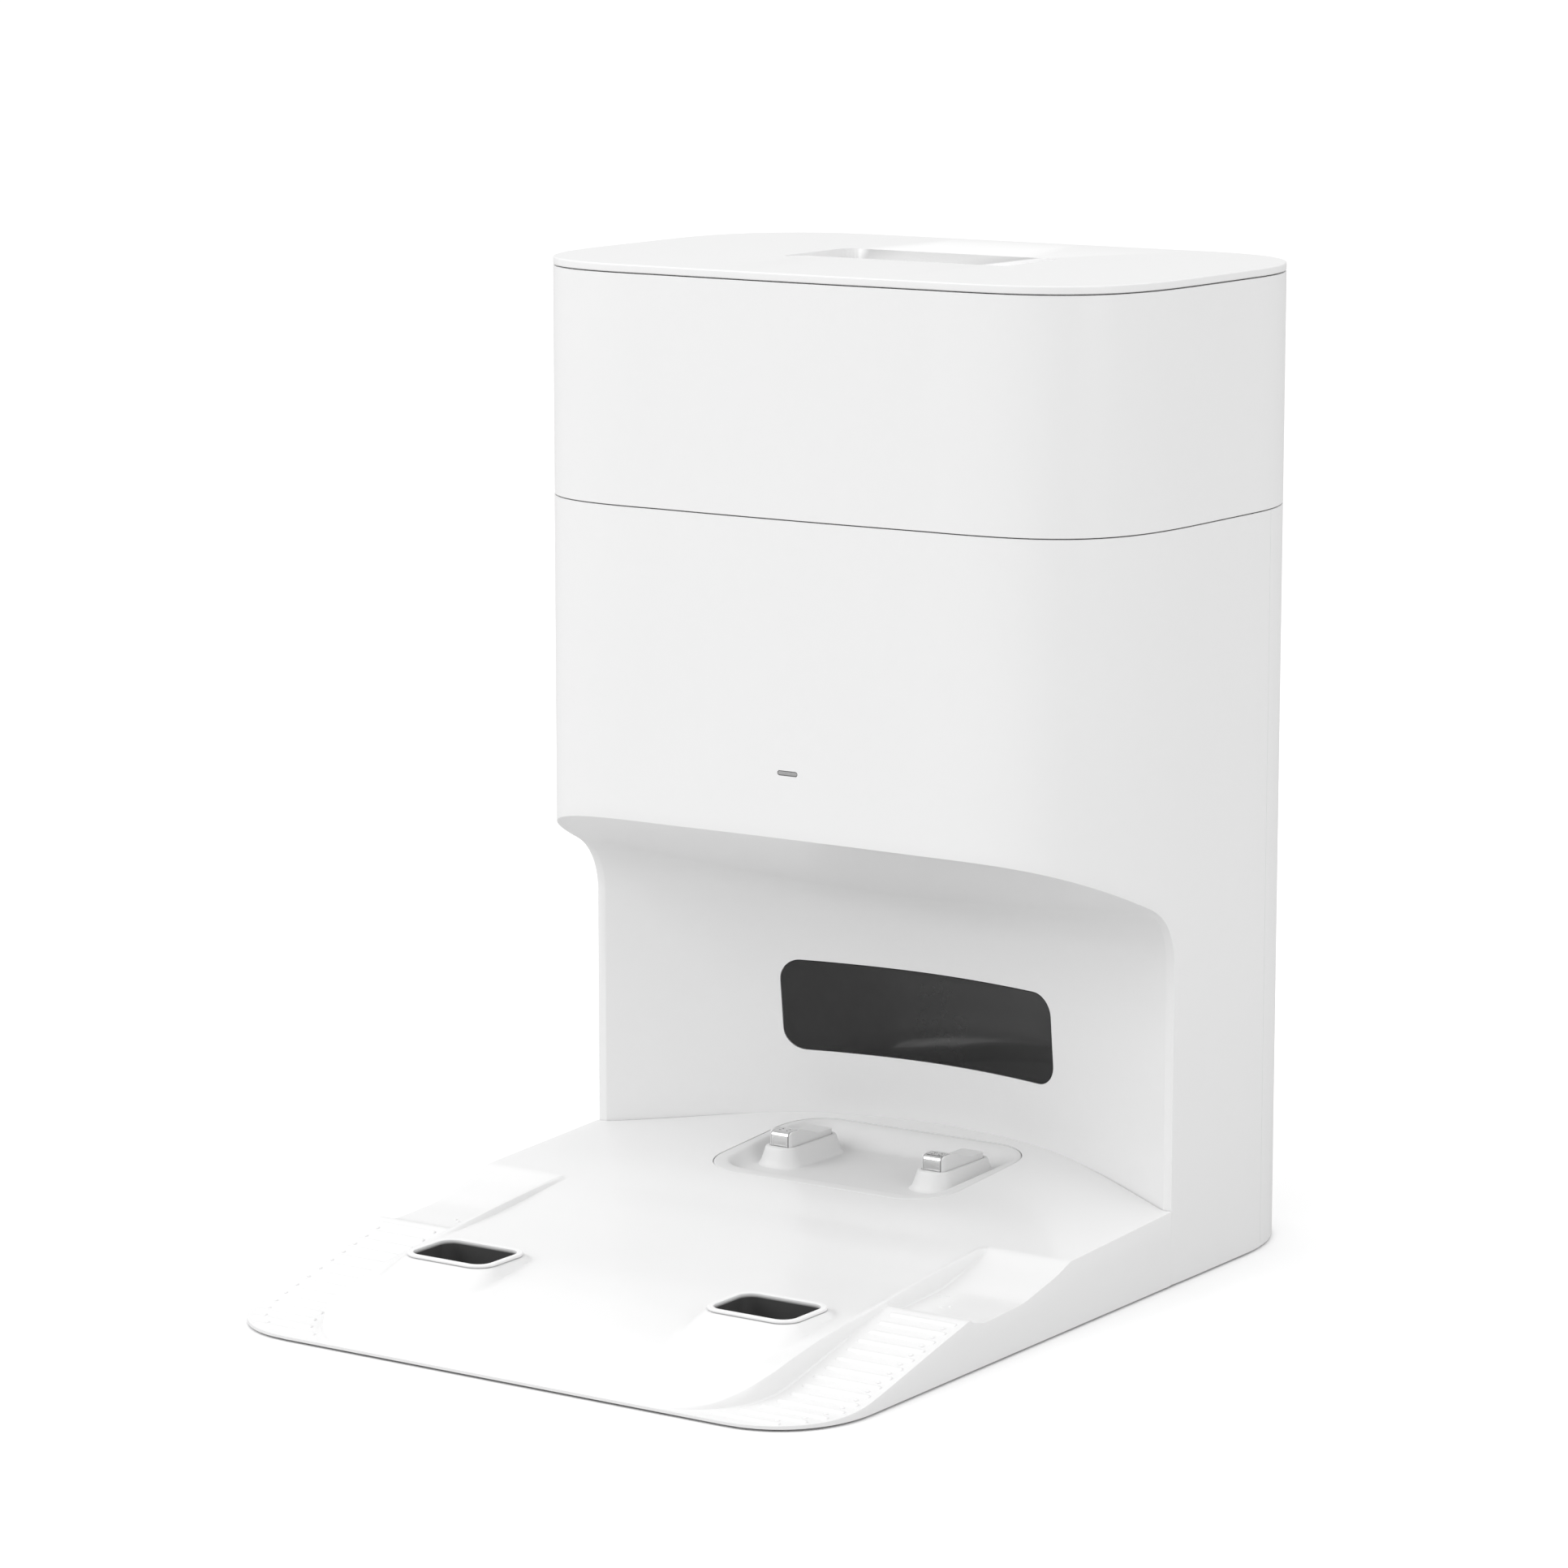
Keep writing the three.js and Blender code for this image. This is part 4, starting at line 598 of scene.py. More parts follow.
def openSheet(piece, faceTest, cutY=None, keepBehind=True):
    # deletes faces, and everything on one side of an upright plane
    chooseFaces(piece, faceTest)
    bpy.ops.mesh.delete(type="FACE")
    if cutY is not None:
        bpy.ops.mesh.select_all(action="SELECT")
        bpy.ops.mesh.bisect(plane_co=(0, cutY, 0), plane_no=(0, 1, 0), clear_inner=keepBehind,
                            clear_outer=not keepBehind)
    bpy.ops.object.mode_set(mode="OBJECT")


def rings(piece, low, high, count):
    # level cuts round a shell, so that its walls are made of short faces
    for i in range(1, count):
        chooseFaces(piece, lambda centre, normal: True)
        bpy.ops.mesh.bisect(plane_co=(0, 0, low + (high - low) * i / count), plane_no=(0, 0, 1))
        bpy.ops.object.mode_set(mode="OBJECT")


rearShell = towerBlock("rearShell", tower["floor"], tower["lowTop"])
openSheet(rearShell, lambda centre, normal: abs(normal.z) > 0.5, tower["seamY"] + 0.0005)
modify(rearShell, "SOLIDIFY", thickness=tower["wall"], offset=-1)
recesses = [drum("recess", 0.0034, (x, 0.2283, z), (x, 0.236, z), 32, "Y") for x, z in coverScrews]
holes = [drum("hole", 0.0018, (x, 0.222, z), (x, 0.236, z), 24, "Y") for x, z in coverScrews]
subtract(rearShell,
         uprightPlate("grilleCut", grille["half"] + gap, grille["z"] - grille["tall"] - gap,
                      grille["z"] + grille["tall"] + gap, 0.215, 0.236, 0.005, grille["x"]),
         uprightPlate("inletCut", inlet["half"] + gap, inlet["z"] - inlet["tall"] - gap,
                      inlet["z"] + inlet["tall"] + gap, 0.215, 0.236, 0.001, inlet["x"]),
         *recesses, *holes)
soften(rearShell, 0.0003, 2, 40)
dress(rearShell, "station", shellPlastic, "shell_white", "rear_cover")

exhaustGrille = uprightPlate("exhaustGrille", grille["half"], grille["z"] - grille["tall"],
                             grille["z"] + grille["tall"],
                             0.227, 0.2296, 0.005, grille["x"])
slotPitch = (2 * grille["tall"] - 0.010) / grille["slats"]
for i in range(grille["slats"]):
    z = grille["z"] + (i - (grille["slats"] - 1) / 2) * slotPitch
    subtract(exhaustGrille,
             uprightPlate("slot", grille["half"] - 0.006, z - 0.0022, z + 0.0022, 0.22, 0.236, 0.0021,
                                         grille["x"], 6))
soften(exhaustGrille, 0.0005, 2, 40)
dress(exhaustGrille, "station", satinPlastic, "satin_white", "exhaust_grille")
print("rear shell made")


# upper shell: a ring round the bag bay, with the fixed hinge knuckles
hinge = {"x": 0.075, "y": 0.2298, "z": 0.4813, "radius": 0.0032, "half": 0.007, "outer": 0.0168,
         "pin": 0.0015}
upperShell = towerBlock("upperShell", tower["upperLow"], tower["upperTop"])
openSheet(upperShell, lambda centre, normal: abs(normal.z) > 0.5)
modify(upperShell, "SOLIDIFY", thickness=tower["wall"], offset=-1)
soften(upperShell, 0.00035, 2, 50)
knuckles = []
for side in (-1, 1):
    for step in (-1, 1):
        ends = sorted((side * hinge["x"] + step * (hinge["half"] + 0.0003),
                       side * hinge["x"] + step * hinge["outer"]))
        barrel = drum("knuckle", hinge["radius"], (ends[0], hinge["y"], hinge["z"]),
                      (ends[1], hinge["y"], hinge["z"]),
                      40, "X")
        foot = block("knuckleFoot", (ends[0], 0.2272, hinge["z"] - 0.0082),
                     (ends[1], hinge["y"] + 0.001, hinge["z"]))
        chooseFaces(foot, lambda centre, normal: normal.z < -0.5)
        bpy.ops.transform.resize(value=(1, 0.5, 1), center_override=(0, 0.2272, hinge["z"] - 0.0082))
        bpy.ops.object.mode_set(mode="OBJECT")
        unite(barrel, foot)
        subtract(barrel, drum("bore", hinge["pin"] + 0.00025, (ends[0] - 0.001, hinge["y"], hinge["z"]),
                              (ends[1] + 0.001, hinge["y"], hinge["z"]), 24, "X"))
        soften(barrel, 0.0003, 2, 40)
        knuckles.append(barrel)
upperShell = gather("upperShell", [upperShell, *knuckles])
dress(upperShell, "station", shellPlastic, "shell_white", "upper_housing")
print("upper shell made")


# lid: a thin slab with a finger pocket, a locating rim and its own knuckles
lid = {"pocketX": 0.062, "pocketY": (0.08695, 0.14695), "radius": 0.006, "deep": 0.015}
lidPanel = towerBlock("lidPanel", tower["lidLow"], tower["top"])
soften(lidPanel, 0.0007, 3, 50)
subtract(lidPanel,
         towerBlock("lidHollow", tower["lidLow"] - 0.002, tower["top"] - 0.0019, tower["wall"], 0.7))
cup = block("cup",
            (-lid["pocketX"] - 0.002, lid["pocketY"][0] + 0.016, tower["top"] - lid["deep"] - 0.002),
            (lid["pocketX"] + 0.002, lid["pocketY"][1] + 0.002, tower["top"] - 0.001))
roundUpright(cup, 0.007, 8)
unite(lidPanel, cup)
y0, y1 = lid["pocketY"]
top = tower["top"]
pocketLine = [(y0, top + 0.004), (y0, top - 0.0002), (y0 + 0.010, top - 0.0005),
              (y0 + 0.022, top - 0.0012),
              (y0 + 0.032, top - 0.0026), (y0 + 0.038, top - 0.0050), (y0 + 0.0415, top - 0.0085),
              (y0 + 0.0435, top - 0.0125), (y0 + 0.046, top - lid["deep"]), (y1, top - lid["deep"]),
              (y1, top + 0.004)]
pocket = sheet("pocket", [(-0.1, y, z) for y, z in pocketLine] + [(0.1, y, z) for y, z in pocketLine],
               [tuple(range(len(pocketLine))),
                tuple(range(2 * len(pocketLine) - 1, len(pocketLine) - 1, -1))]
               + [(i, i + len(pocketLine), (i + 1) % len(pocketLine) + len(pocketLine),
                   (i + 1) % len(pocketLine))
                  for i in range(len(pocketLine))])
faceOut(pocket, (0, 0, 1), (0, 0.12, top + 0.004))
pocketPlan = block("pocketPlan", (-lid["pocketX"], y0, 0.46), (lid["pocketX"], y1, 0.50))
roundUpright(pocketPlan, lid["radius"], 10)
keepInside(pocket, pocketPlan)
subtract(lidPanel, pocket)
rim = towerBlock("rim", 0.4778, 0.4836, 0.0052, 0.7)
subtract(rim, towerBlock("rimInside", 0.476, 0.486, 0.0072, 0.7))
sealRib = block("sealRib", (-0.1244, 0.0201, 0.4792), (0.1244, 0.1709, 0.4836))
roundUpright(sealRib, 0.0174, 10)
sealRibInside = block("sealRibInside", (-0.1224, 0.0221, 0.478), (0.1224, 0.1689, 0.486))
roundUpright(sealRibInside, 0.0154, 10)
subtract(sealRib, sealRibInside)
tab = drum("tab", 0.0035, (0.138, 0.0715, 0.4812), (0.138, 0.0715, 0.4838), 24)
lidParts = [lidPanel]
for part in (rim, sealRib, tab):
    soften(part, 0.0003, 2, 40)
    lidParts.append(part)
for side in (-1, 1):
    x = side * hinge["x"]
    lug = block("lug", (x - hinge["half"], 0.2262, 0.4818),
                (x + hinge["half"], hinge["y"] + 0.0015, 0.4843))
    barrel = drum("lidKnuckle", hinge["radius"], (x - hinge["half"], hinge["y"], hinge["z"]),
                  (x + hinge["half"], hinge["y"], hinge["z"]), 40, "X")
    unite(barrel, lug)
    subtract(barrel, drum("bore", hinge["pin"] + 0.00025, (x - 0.02, hinge["y"], hinge["z"]),
                          (x + 0.02, hinge["y"], hinge["z"]), 24, "X"))
    soften(barrel, 0.0003, 2, 40)
    lidParts.append(barrel)
    for step in (-1, 1):
        ends = sorted((x + step * (hinge["half"] - 0.00005), x + step * (hinge["outer"] + 0.0004)))
        subtract(lidPanel, drum("room", hinge["radius"] + 0.0005, (ends[0], hinge["y"], hinge["z"]),
                                (ends[1], hinge["y"], hinge["z"]), 40, "X"))
smooth(lidPanel, 30)
lidPanel = gather("lidPanel", lidParts)
dress(lidPanel, "lid", shellPlastic, "shell_white", "lid")
print("lid made")


# ramp: one skin with a raised pad, sunken wheel tracks, flared port skirts and a deck that
# rises into the cavity
ramp = {
    "front": -0.233, "deckStart": 0.219, "deckSlope": 0.044, "cheekY": 0.080,
    "plateCorner": (0.047, 0.052, 2.2), "padHalf": 0.1246, "padCorner": (0.048, 0.050, 2.2),
    "crown": ((219, 0), (256, 3.8), (312, 5.4), (400, 7.8)), "crownFlat": 0.060,
    "track": ((0, 2.6), (24, 3.3), (40, 4.9), (54, 7.6), (80, 13.6), (100, 18.3), (126, 24.2),
              (130.5, 25.2),
              (132.5, 25.2), (134, 23.8), (138, 22.9), (145, 21.6), (162, 22.2), (176, 23), (191, 26),
              (206, 29.4), (219, 33.7)),
    "pad": ((0, 2.6), (4, 3.6), (12, 5.6), (22, 9), (35, 13.5), (52, 17.5), (67, 20), (82, 22.3),
            (112, 25),
            (128, 25.6), (154, 26.9), (181, 29.3), (200, 31.6), (219, 33.7)),
    "fin": ((0, 2.6), (4, 3.6), (12, 5.6), (22, 9), (35, 13.5), (52, 17.5), (67, 20), (82, 22.3),
            (108, 24.9),
            (137, 27.9), (164, 30.6), (192, 33), (214, 34.2), (219, 33.8)),
    "wall": ((-7.0, 0), (-5.4, 0), (-4.3, 0.10), (-3.5, 0.62), (-2.7, 0.95), (-1.6, 1.0), (-0.9, 0.98),
             (-0.35, 0.86),
             (0.15, 0.42), (0.65, 0.08), (1.4, 0), (3.2, 0)),
    "ports": (-0.0865, 0.0865), "portY": -0.1427, "portTop": 0.0288, "portUnder": 0.0272, "edge": 0.0010,
}


def curveAt(points, s):
    # a smooth line through (mm, mm) points that never overshoots them
    if s <= points[0][0]:
        return points[0][1]
    for i in range(len(points) - 1):
        if s <= points[i + 1][0]:
            break
    else:
        return points[-1][1]
    slopes = [(b[1] - a[1]) / (b[0] - a[0]) for a, b in zip(points, points[1:])]

    def tangent(j):
        if j == 0 or j == len(points) - 1:
            return slopes[min(j, len(slopes) - 1)]
        before, after = slopes[j - 1], slopes[j]
        return 0 if before * after <= 0 else 2 * before * after / (before + after)

    (s0, z0), (s1, z1) = points[i], points[i + 1]
    length = s1 - s0
    t = (s - s0) / length
    return ((2 * t ** 3 - 3 * t ** 2 + 1) * z0 + (t ** 3 - 2 * t ** 2 + t) * length * tangent(i)
            + (3 * t ** 2 - 2 * t ** 3) * z1 + (t ** 3 - t ** 2) * length * tangent(i + 1))


def halfWidthAt(s, half, corner):
    # half the width of a plate with squarish front corners, s behind its front edge
    sizeX, sizeY, power = corner
    if s >= sizeY:
        return half
    return half - sizeX + sizeX * (1 - (1 - s / sizeY) ** power) ** (1 / power)


def deckZ(x, s):
    crown = curveAt(ramp["crown"], s * 1000) * mm
    side = min(1, max(0, (abs(x) - ramp["crownFlat"]) / (tower["half"] - ramp["crownFlat"])))
    level = 0.0337 + ramp["deckSlope"] * (s - ramp["deckStart"])
    return level + crown * (1 - side * side * (3 - 2 * side))


def skirtLevel(dx, dy):
    # 0 inside the rim's outline, 1 at the skirt's foot
    flareY, roundY = (0.029, 0.016) if dy < 0 else (0.017, 0.007)

    def inside(level):
        halfX, halfY = 0.0256 + 0.010 * level, 0.0196 + flareY * level
        roundX, round2 = 0.0105 + 0.008 * level, 0.0105 + roundY * level
        overX, overY = abs(dx) - (halfX - roundX), abs(dy) - (halfY - round2)
        if overX <= 0 or overY <= 0:
            return overX <= roundX and overY <= round2
        return (overX / roundX) ** 2 + (overY / round2) ** 2 <= 1

    if inside(0):
        return 0
    low, high = 0, 2
    if not inside(high):
        return high
    for _ in range(18):
        middle = (low + high) / 2
        low, high = (low, middle) if inside(middle) else (middle, high)
    return high


def softMax(a, b, blend):
    return (a + b + math.sqrt((a - b) ** 2 + blend ** 2)) / 2


def padZ(x, s):
    z = curveAt(ramp["pad"], s * 1000) * mm
    for portX in ramp["ports"]:
        dx, dy = x - portX, ramp["front"] + s - ramp["portY"]
        if abs(dx) < 0.045 and abs(dy) < 0.065:
            level = skirtLevel(dx, dy)
            cone = ramp["portUnder"] - 0.0135 * level
            if level <= 0:
                return ramp["portUnder"]
            z = min(ramp["portUnder"], softMax(z, cone, 0.0007))
    return z


def steps(start, stop, step):
    count = max(1, round((stop - start) / step))
    return [start + (stop - start) * i / count for i in range(count)]


def makeRamp():
    rowS = [0, 0.0006, 0.0014, 0.0026, 0.0040, 0.0056, 0.0074] + steps(0.0092, 0.042, 0.0020)
    rowS += steps(0.042, 0.126, 0.0015) + [0.126, 0.1285, 0.1300, 0.1312, 0.1322, 0.1330, 0.1340, 0.1354]
    rowS += steps(0.1375, 0.219, 0.0024) + steps(0.219, 0.293, 0.0028)
    padU = steps(0, 0.41, 0.026) + steps(0.41, 1, 0.0128) + [1]
    trackU = [i / 15 for i in range(1, 15)] + [0.985, 1]
    side = []

    def column(s):
        padEdge = halfWidthAt(s, ramp["padHalf"], ramp["padCorner"])
        plateEdge = halfWidthAt(s, tower["half"], ramp["plateCorner"])
        trackZ = curveAt(ramp["track"], s * 1000) * mm
        finZ = curveAt(ramp["fin"], s * 1000) * mm
        line = [(u * (padEdge - 0.007), padZ(u * (padEdge - 0.007), s)) for u in padU[:-1]]
        for offset, share in ramp["wall"]:
            x = padEdge + offset * mm
            base = padZ(x, s) if offset < -2 else trackZ
            top = finZ if abs(offset) < 4.4 else base
            if offset > -2:
                line.append((x, base + (top - base) * share))
            else:
                line.append((x, base + (max(top, base) - base) * share))
        start = padEdge + 0.0032
        line += [(start + (plateEdge - start) * u, trackZ) for u in trackU]
        if s > ramp["deckStart"] - 1e-6:
            line = [(x, deckZ(x, s)) for x, z in line]
        return line

    for s in rowS:
        side.append([Vector((x, ramp["front"] + s, z)) for x, z in column(s)])
    # the last rows close in on the curved foot of the cavity
    startY, tongueRows = 0.060, 28
    last = column(startY - ramp["front"])
    for j in range(0, tongueRows + 1):
        row = []
        for x, _ in last:
            bow = 1 - (x / cavity["side"]) ** cavity["power"] if x <= cavity["side"] else 0
            reach = cavity["depth"] * bow
            endY = ramp["cheekY"] + reach - 0.0006
            y = startY + (endY - startY) * j / tongueRows
            row.append(Vector((x, y, deckZ(x, y - ramp["front"]))))
        side.append(row)
    points, faces, grid = [], [], []
    for row in side:
        full = [Vector((-p.x, p.y, p.z)) for p in reversed(row[1:])] + row
        grid.append(list(range(len(points), len(points) + len(full))))
        points += full
    for a, b in zip(grid, grid[1:]):
        faces += [(a[i], a[i + 1], b[i + 1], b[i]) for i in range(len(a) - 1)]
    # upright walls under the whole edge
    rim = grid[0] + [row[-1] for row in grid[1:]]
    rim += list(reversed(grid[-1][:-1]))
    rim += [row[0] for row in reversed(grid[1:-1])]
    levels = 3
    below = []
    for level in range(1, levels + 1):
        first = len(points)
        for i in rim:
            top = points[i]
            points.append(Vector((top.x, top.y, top.z + (tower["floor"] - top.z) * level / levels)))
        below.append(list(range(first, first + len(rim))))
    chain = [rim, *below]
    for a, b in zip(chain, chain[1:]):
        faces += [(a[i], a[(i + 1) % len(rim)], b[(i + 1) % len(rim)], b[i]) for i in range(len(rim))]
    piece = sheet("ramp", points, faces)
    faceOut(piece, (0, 0, 1), (0, -0.1, 0.025))
    return piece


rampSkin = makeRamp()
chooseEdges(rampSkin, lambda a, b: False)
bpy.ops.object.mode_set(mode="OBJECT")
faceNormals = {}
for face in rampSkin.data.polygons:
    for key in face.edge_keys:
        faceNormals.setdefault(key, []).append(face.normal.z)
for edge in rampSkin.data.edges:
    tilts = faceNormals[edge.key]
    edge.select = len(tilts) == 2 and min(abs(tilts[0]), abs(tilts[1])) < 0.02 and max(tilts) > 0.5
bpy.ops.object.mode_set(mode="EDIT")
bpy.ops.mesh.bevel(offset=ramp["edge"], segments=3, affect="EDGES", clamp_overlap=True)
bpy.ops.object.mode_set(mode="OBJECT")
group = rampSkin.vertex_groups.new(name="skin")
for point in rampSkin.data.vertices:
    height = curveAt(ramp["track"], (point.co.y - ramp["front"]) * 1000) * mm - tower["floor"]
    group.add([point.index], max(0.25, min(1, height / 0.0045)), "REPLACE")
modify(rampSkin, "SOLIDIFY", thickness=0.0026, offset=-1, vertex_group="skin")


def rounded(name, sizeX, sizeY, radius, low, high, centre=(0, 0), segments=10):
    x, y = centre
    piece = block(name, (x - sizeX / 2, y - sizeY / 2, low), (x + sizeX / 2, y + sizeY / 2, high))
    roundUpright(piece, radius, segments)
    return piece


tray = {"half": 0.070, "front": 0.023, "rear": 0.1215, "corner": 0.024, "floor": 0.035, "gap": 0.00035}
trayMiddle = (0, (tray["front"] + tray["rear"]) / 2)
cuts = [rounded("portCut", 0.0477, 0.0357, 0.0089, 0.005, 0.060,
                (x, ramp["portY"])) for x in ramp["ports"]]
cuts.append(rounded("trayCut", 2 * (tray["half"] + tray["gap"]),
                    tray["rear"] - tray["front"] + 2 * tray["gap"],
                    tray["corner"] + tray["gap"], 0.030, 0.070, trayMiddle, 20))
ductCut = block("ductCut", (-0.035, 0.080, -0.01), (0.035, 0.150, 0.0295))
subtract(rampSkin, *cuts, ductCut)
smooth(rampSkin, 32, weighted=False)
print("ramp skin", len(rampSkin.data.polygons))


# treads: low bars across the tracks, small domes at their ends and in the wheel wells
tread = {"first": 0.009, "pitch": 0.0089, "count": 14, "width": 0.0030, "height": 0.0009, "inner": 0.131,
         "margin": 0.0034}


def makeBar(x0, x1, s):
    stations = [(0, 0.3), (0.0004, 0.72), (0.001, 0.93), (0.0018, 1)]
    along = [(x0 + a, k) for a, k in stations] + [(x1 - a, k) for a, k in reversed(stations)]
    points, faces = [], []
    z = curveAt(ramp["track"], s * 1000) * mm
    slope = (curveAt(ramp["track"], s * 1000 + 1) - curveAt(ramp["track"], s * 1000 - 1)) / 2
    around = 10
    for x, k in along:
        for i in range(around):
            angle = 2 * math.pi * i / around
            ds = tread["width"] / 2 * math.cos(angle) * (0.6 + 0.4 * k)
            rise = tread["height"] * math.sin(angle) * k
            points.append((x, ramp["front"] + s + ds, z + slope * ds + rise))
    for j in range(len(along) - 1):
        a, b = j * around, (j + 1) * around
        faces += [(a + i, a + (i + 1) % around, b + (i + 1) % around, b + i) for i in range(around)]
    faces += [tuple(range(around)), tuple(range(len(points) - 1, len(points) - 1 - around, -1))]
    return sheet("bar", points, faces)


def makeDome(x, s, radius, rise):
    deselectAll()
    z = curveAt(ramp["track"], s * 1000) * mm
    bpy.ops.mesh.primitive_uv_sphere_add(segments=12, ring_count=8, radius=radius,
                                         location=(x, ramp["front"] + s, z))
    piece = bpy.context.object
    bpy.ops.object.transform_apply(location=True, rotation=True, scale=True)
    for point in piece.data.vertices:
        point.co.z = z + (point.co.z - z) * rise / radius
    return piece


treads = []
for i in range(tread["count"]):
    s = tread["first"] + i * tread["pitch"]
    inner = max(tread["inner"], halfWidthAt(s, ramp["padHalf"], ramp["padCorner"]) + 0.0055)
    outer = halfWidthAt(s, tower["half"], ramp["plateCorner"]) - tread["margin"]
    if i < 5:
        inner = halfWidthAt(s, ramp["padHalf"], ramp["padCorner"]) + 0.0060
    for sign in (-1, 1):
        ends = sorted((sign * inner, sign * outer))
        treads.append(makeBar(ends[0], ends[1], s))
        if i < tread["count"] - 1:
            treads.append(makeDome(sign * (outer - 0.004), s + tread["pitch"] / 2, 0.0011, 0.0007))
for sign in (-1, 1):
    for x, y in ((0.1300, -0.0652), (0.1334, -0.0632), (0.1398, -0.0784), (0.1430, -0.0762)):
        treads.append(makeDome(sign * x, y - ramp["front"], 0.0009, 0.0005))
treads = gather("treads", treads)
agreeNormals(treads)
smooth(treads, 50, weighted=False)
rampPiece = gather("ramp", [rampSkin, treads])
dress(rampPiece, "station", shellPlastic, "shell_white", "base_plate")
print("ramp made")


# port sleeves: soft rims that stand on the skirts
def makeSleeve(name, x):
    centre = (x, ramp["portY"])
    flange = rounded(name, 0.050, 0.038, 0.010, ramp["portTop"] - 0.0015, ramp["portTop"], centre, 12)
    neck = rounded("neck", 0.047, 0.035, 0.0085, 0.0167, ramp["portTop"] - 0.0004, centre, 12)
    unite(flange, neck)
    subtract(flange, rounded("bore", 0.044, 0.032, 0.007, 0, 0.06, centre, 12))
    soften(flange, 0.0005, 3, 50)
    return flange


sleeveFinish = Finish("port sleeve")
sleeveGrain = sleeveFinish.noise(1400, 3, 0.6)
sleeveHeight = sleeveFinish.node("ShaderNodeSeparateXYZ", inputs={"Vector": sleeveFinish.objectPlace},
                                 output=2)
# the bore below the white rim is painted near-black, as painted shade inside the port
paintedBoreShade = sleeveFinish.node("ShaderNodeMapRange",
                           inputs={"Value": sleeveHeight, "From Min": 0.0266, "From Max": 0.0280})
sleeveColour = sleeveFinish.blend(paintedBoreShade, grey(0.045), grey(0.80))
sleeve = sleeveFinish.close(sleeveColour, sleeveGrain * 0.12 + 0.5,
                            sleeveFinish.bump(sleeveGrain, 0.12, 0.0002))
for name, x in (("left", ramp["ports"][0]), ("right", ramp["ports"][1])):
    dress(makeSleeve(name + "Sleeve", x), "station", sleeve, "soft_white", "port_sleeve_" + name)


# tray: a dished plate flush with the deck, with two drafted towers
contact = {
    "x": 0.045, "y": 0.0805, "tower": (0.017, 0.046, 0.0065), "top": 0.0445,
    "block": (0.013, 0.039, 0.0025),
    "blockTop": 0.052, "rearTop": 0.0473, "low": 0.0355, "gap": 0.0004,
}


def roundRing(halfX, halfY, radius, centre, z, perCorner=10, straight=6):
    points = []
    radius = min(radius, halfX - 1e-5, halfY - 1e-5)
    corners = ((1, -1, -90), (1, 1, 0), (-1, 1, 90), (-1, -1, 180))
    arcs = []
    for sx, sy, start in corners:
        arc = []
        for i in range(perCorner + 1):
            angle = math.radians(start + 90 * i / perCorner)
            arc.append(Vector((centre[0] + sx * (halfX - radius) + radius * math.cos(angle),
                               centre[1] + sy * (halfY - radius) + radius * math.sin(angle), z)))
        arcs.append(arc)
    for arc, following in zip(arcs, arcs[1:] + arcs[:1]):
        points += arc
        points += [arc[-1].lerp(following[0], i / straight) for i in range(1, straight)]
    return points


def skinRings(name, rings, cap=True):
    points = [p for ring in rings for p in ring]
    count = len(rings[0])
    faces = []
    for j in range(len(rings) - 1):
        a, b = j * count, (j + 1) * count
        faces += [(a + i, a + (i + 1) % count, b + (i + 1) % count, b + i) for i in range(count)]
    if cap:
        faces.append(tuple(range((len(rings) - 1) * count, len(rings) * count)))
    return sheet(name, points, faces)


def makeTray():
    halfY = (tray["rear"] - tray["front"]) / 2
    insets = [0, 0.0004, 0.0010] + [0.0020 + 0.0011 * i for i in range(15)] + [0.022, 0.027, 0.033, 0.040]
    rings = []
    for number, inset in enumerate(insets):
        ring = roundRing(tray["half"] - inset, halfY - inset, max(0.004, tray["corner"] - inset),
                         trayMiddle, 0, 16, 12)
        for point in ring:
            rim = deckZ(point.x, point.y - ramp["front"]) - (0.0005, 0.0001, 0)[min(number, 2)]
            slope = tray["floor"] + (0.0125 - inset) * 1.1
            low = softMax(slope, tray["floor"], 0.0022)
            point.z = -softMax(-rim, -low, 0.0010)
        rings.append(ring)
    wall = [Vector((p.x, p.y, 0.0322)) for p in rings[0]]
    piece = skinRings("tray", [wall, *rings])
    faceOut(piece, (0, 0, 1), (0, trayMiddle[1], tray["floor"]))
    modify(piece, "SOLIDIFY", thickness=0.0020, offset=-1)
    return piece


def makeTower(name, x):
    sizeX, sizeY, radius = contact["tower"]
    centre = (x, contact["y"])
    levels = [(0.0064, 0.0346), (0.0049, 0.0349), (0.0039, 0.0354), (0.0032, 0.0362), (0.0024, 0.0378),
              (0.0016, 0.0400),
              (0.0008, 0.0424), (0.0004, 0.0437), (0.0001, 0.0442), (-0.0004, 0.04445),
              (-0.0009, contact["top"])]
    rings = [roundRing(sizeX / 2 + out, sizeY / 2 + out, radius + out, centre, z, 10, 6) for out,
             z in levels]
    halfX, halfY, corner = contact["block"][0] / 2, contact["block"][1] / 2, contact["block"][2]
    for grow, z in ((0.0006, contact["top"]), (contact["gap"], 0.0442), (contact["gap"], 0.0345)):
        rings.append(roundRing(halfX + grow, halfY + grow, corner + grow, centre, z, 10, 6))
    rings.append(rings[0])
    piece = skinRings(name, rings, False)
    faceOut(piece, (0, -1, 0.2), (x, contact["y"] - 0.025, 0.040))
    smooth(piece, 40, weighted=False)
    return piece


trayPiece = makeTray()
for sign in (-1, 1):
    subtract(trayPiece,
             rounded("blockHole", contact["block"][0] + 0.0008, contact["block"][1] + 0.0008, 0.0029,
                                0.02, 0.06, (sign * contact["x"], contact["y"])))
smooth(trayPiece, 40, weighted=False)
trayPiece = gather("tray",
                   [trayPiece, makeTower("leftTower", -contact["x"]),
                    makeTower("rightTower", contact["x"])])
dress(trayPiece, "station", satinPlastic, "satin_white", "contact_tray")


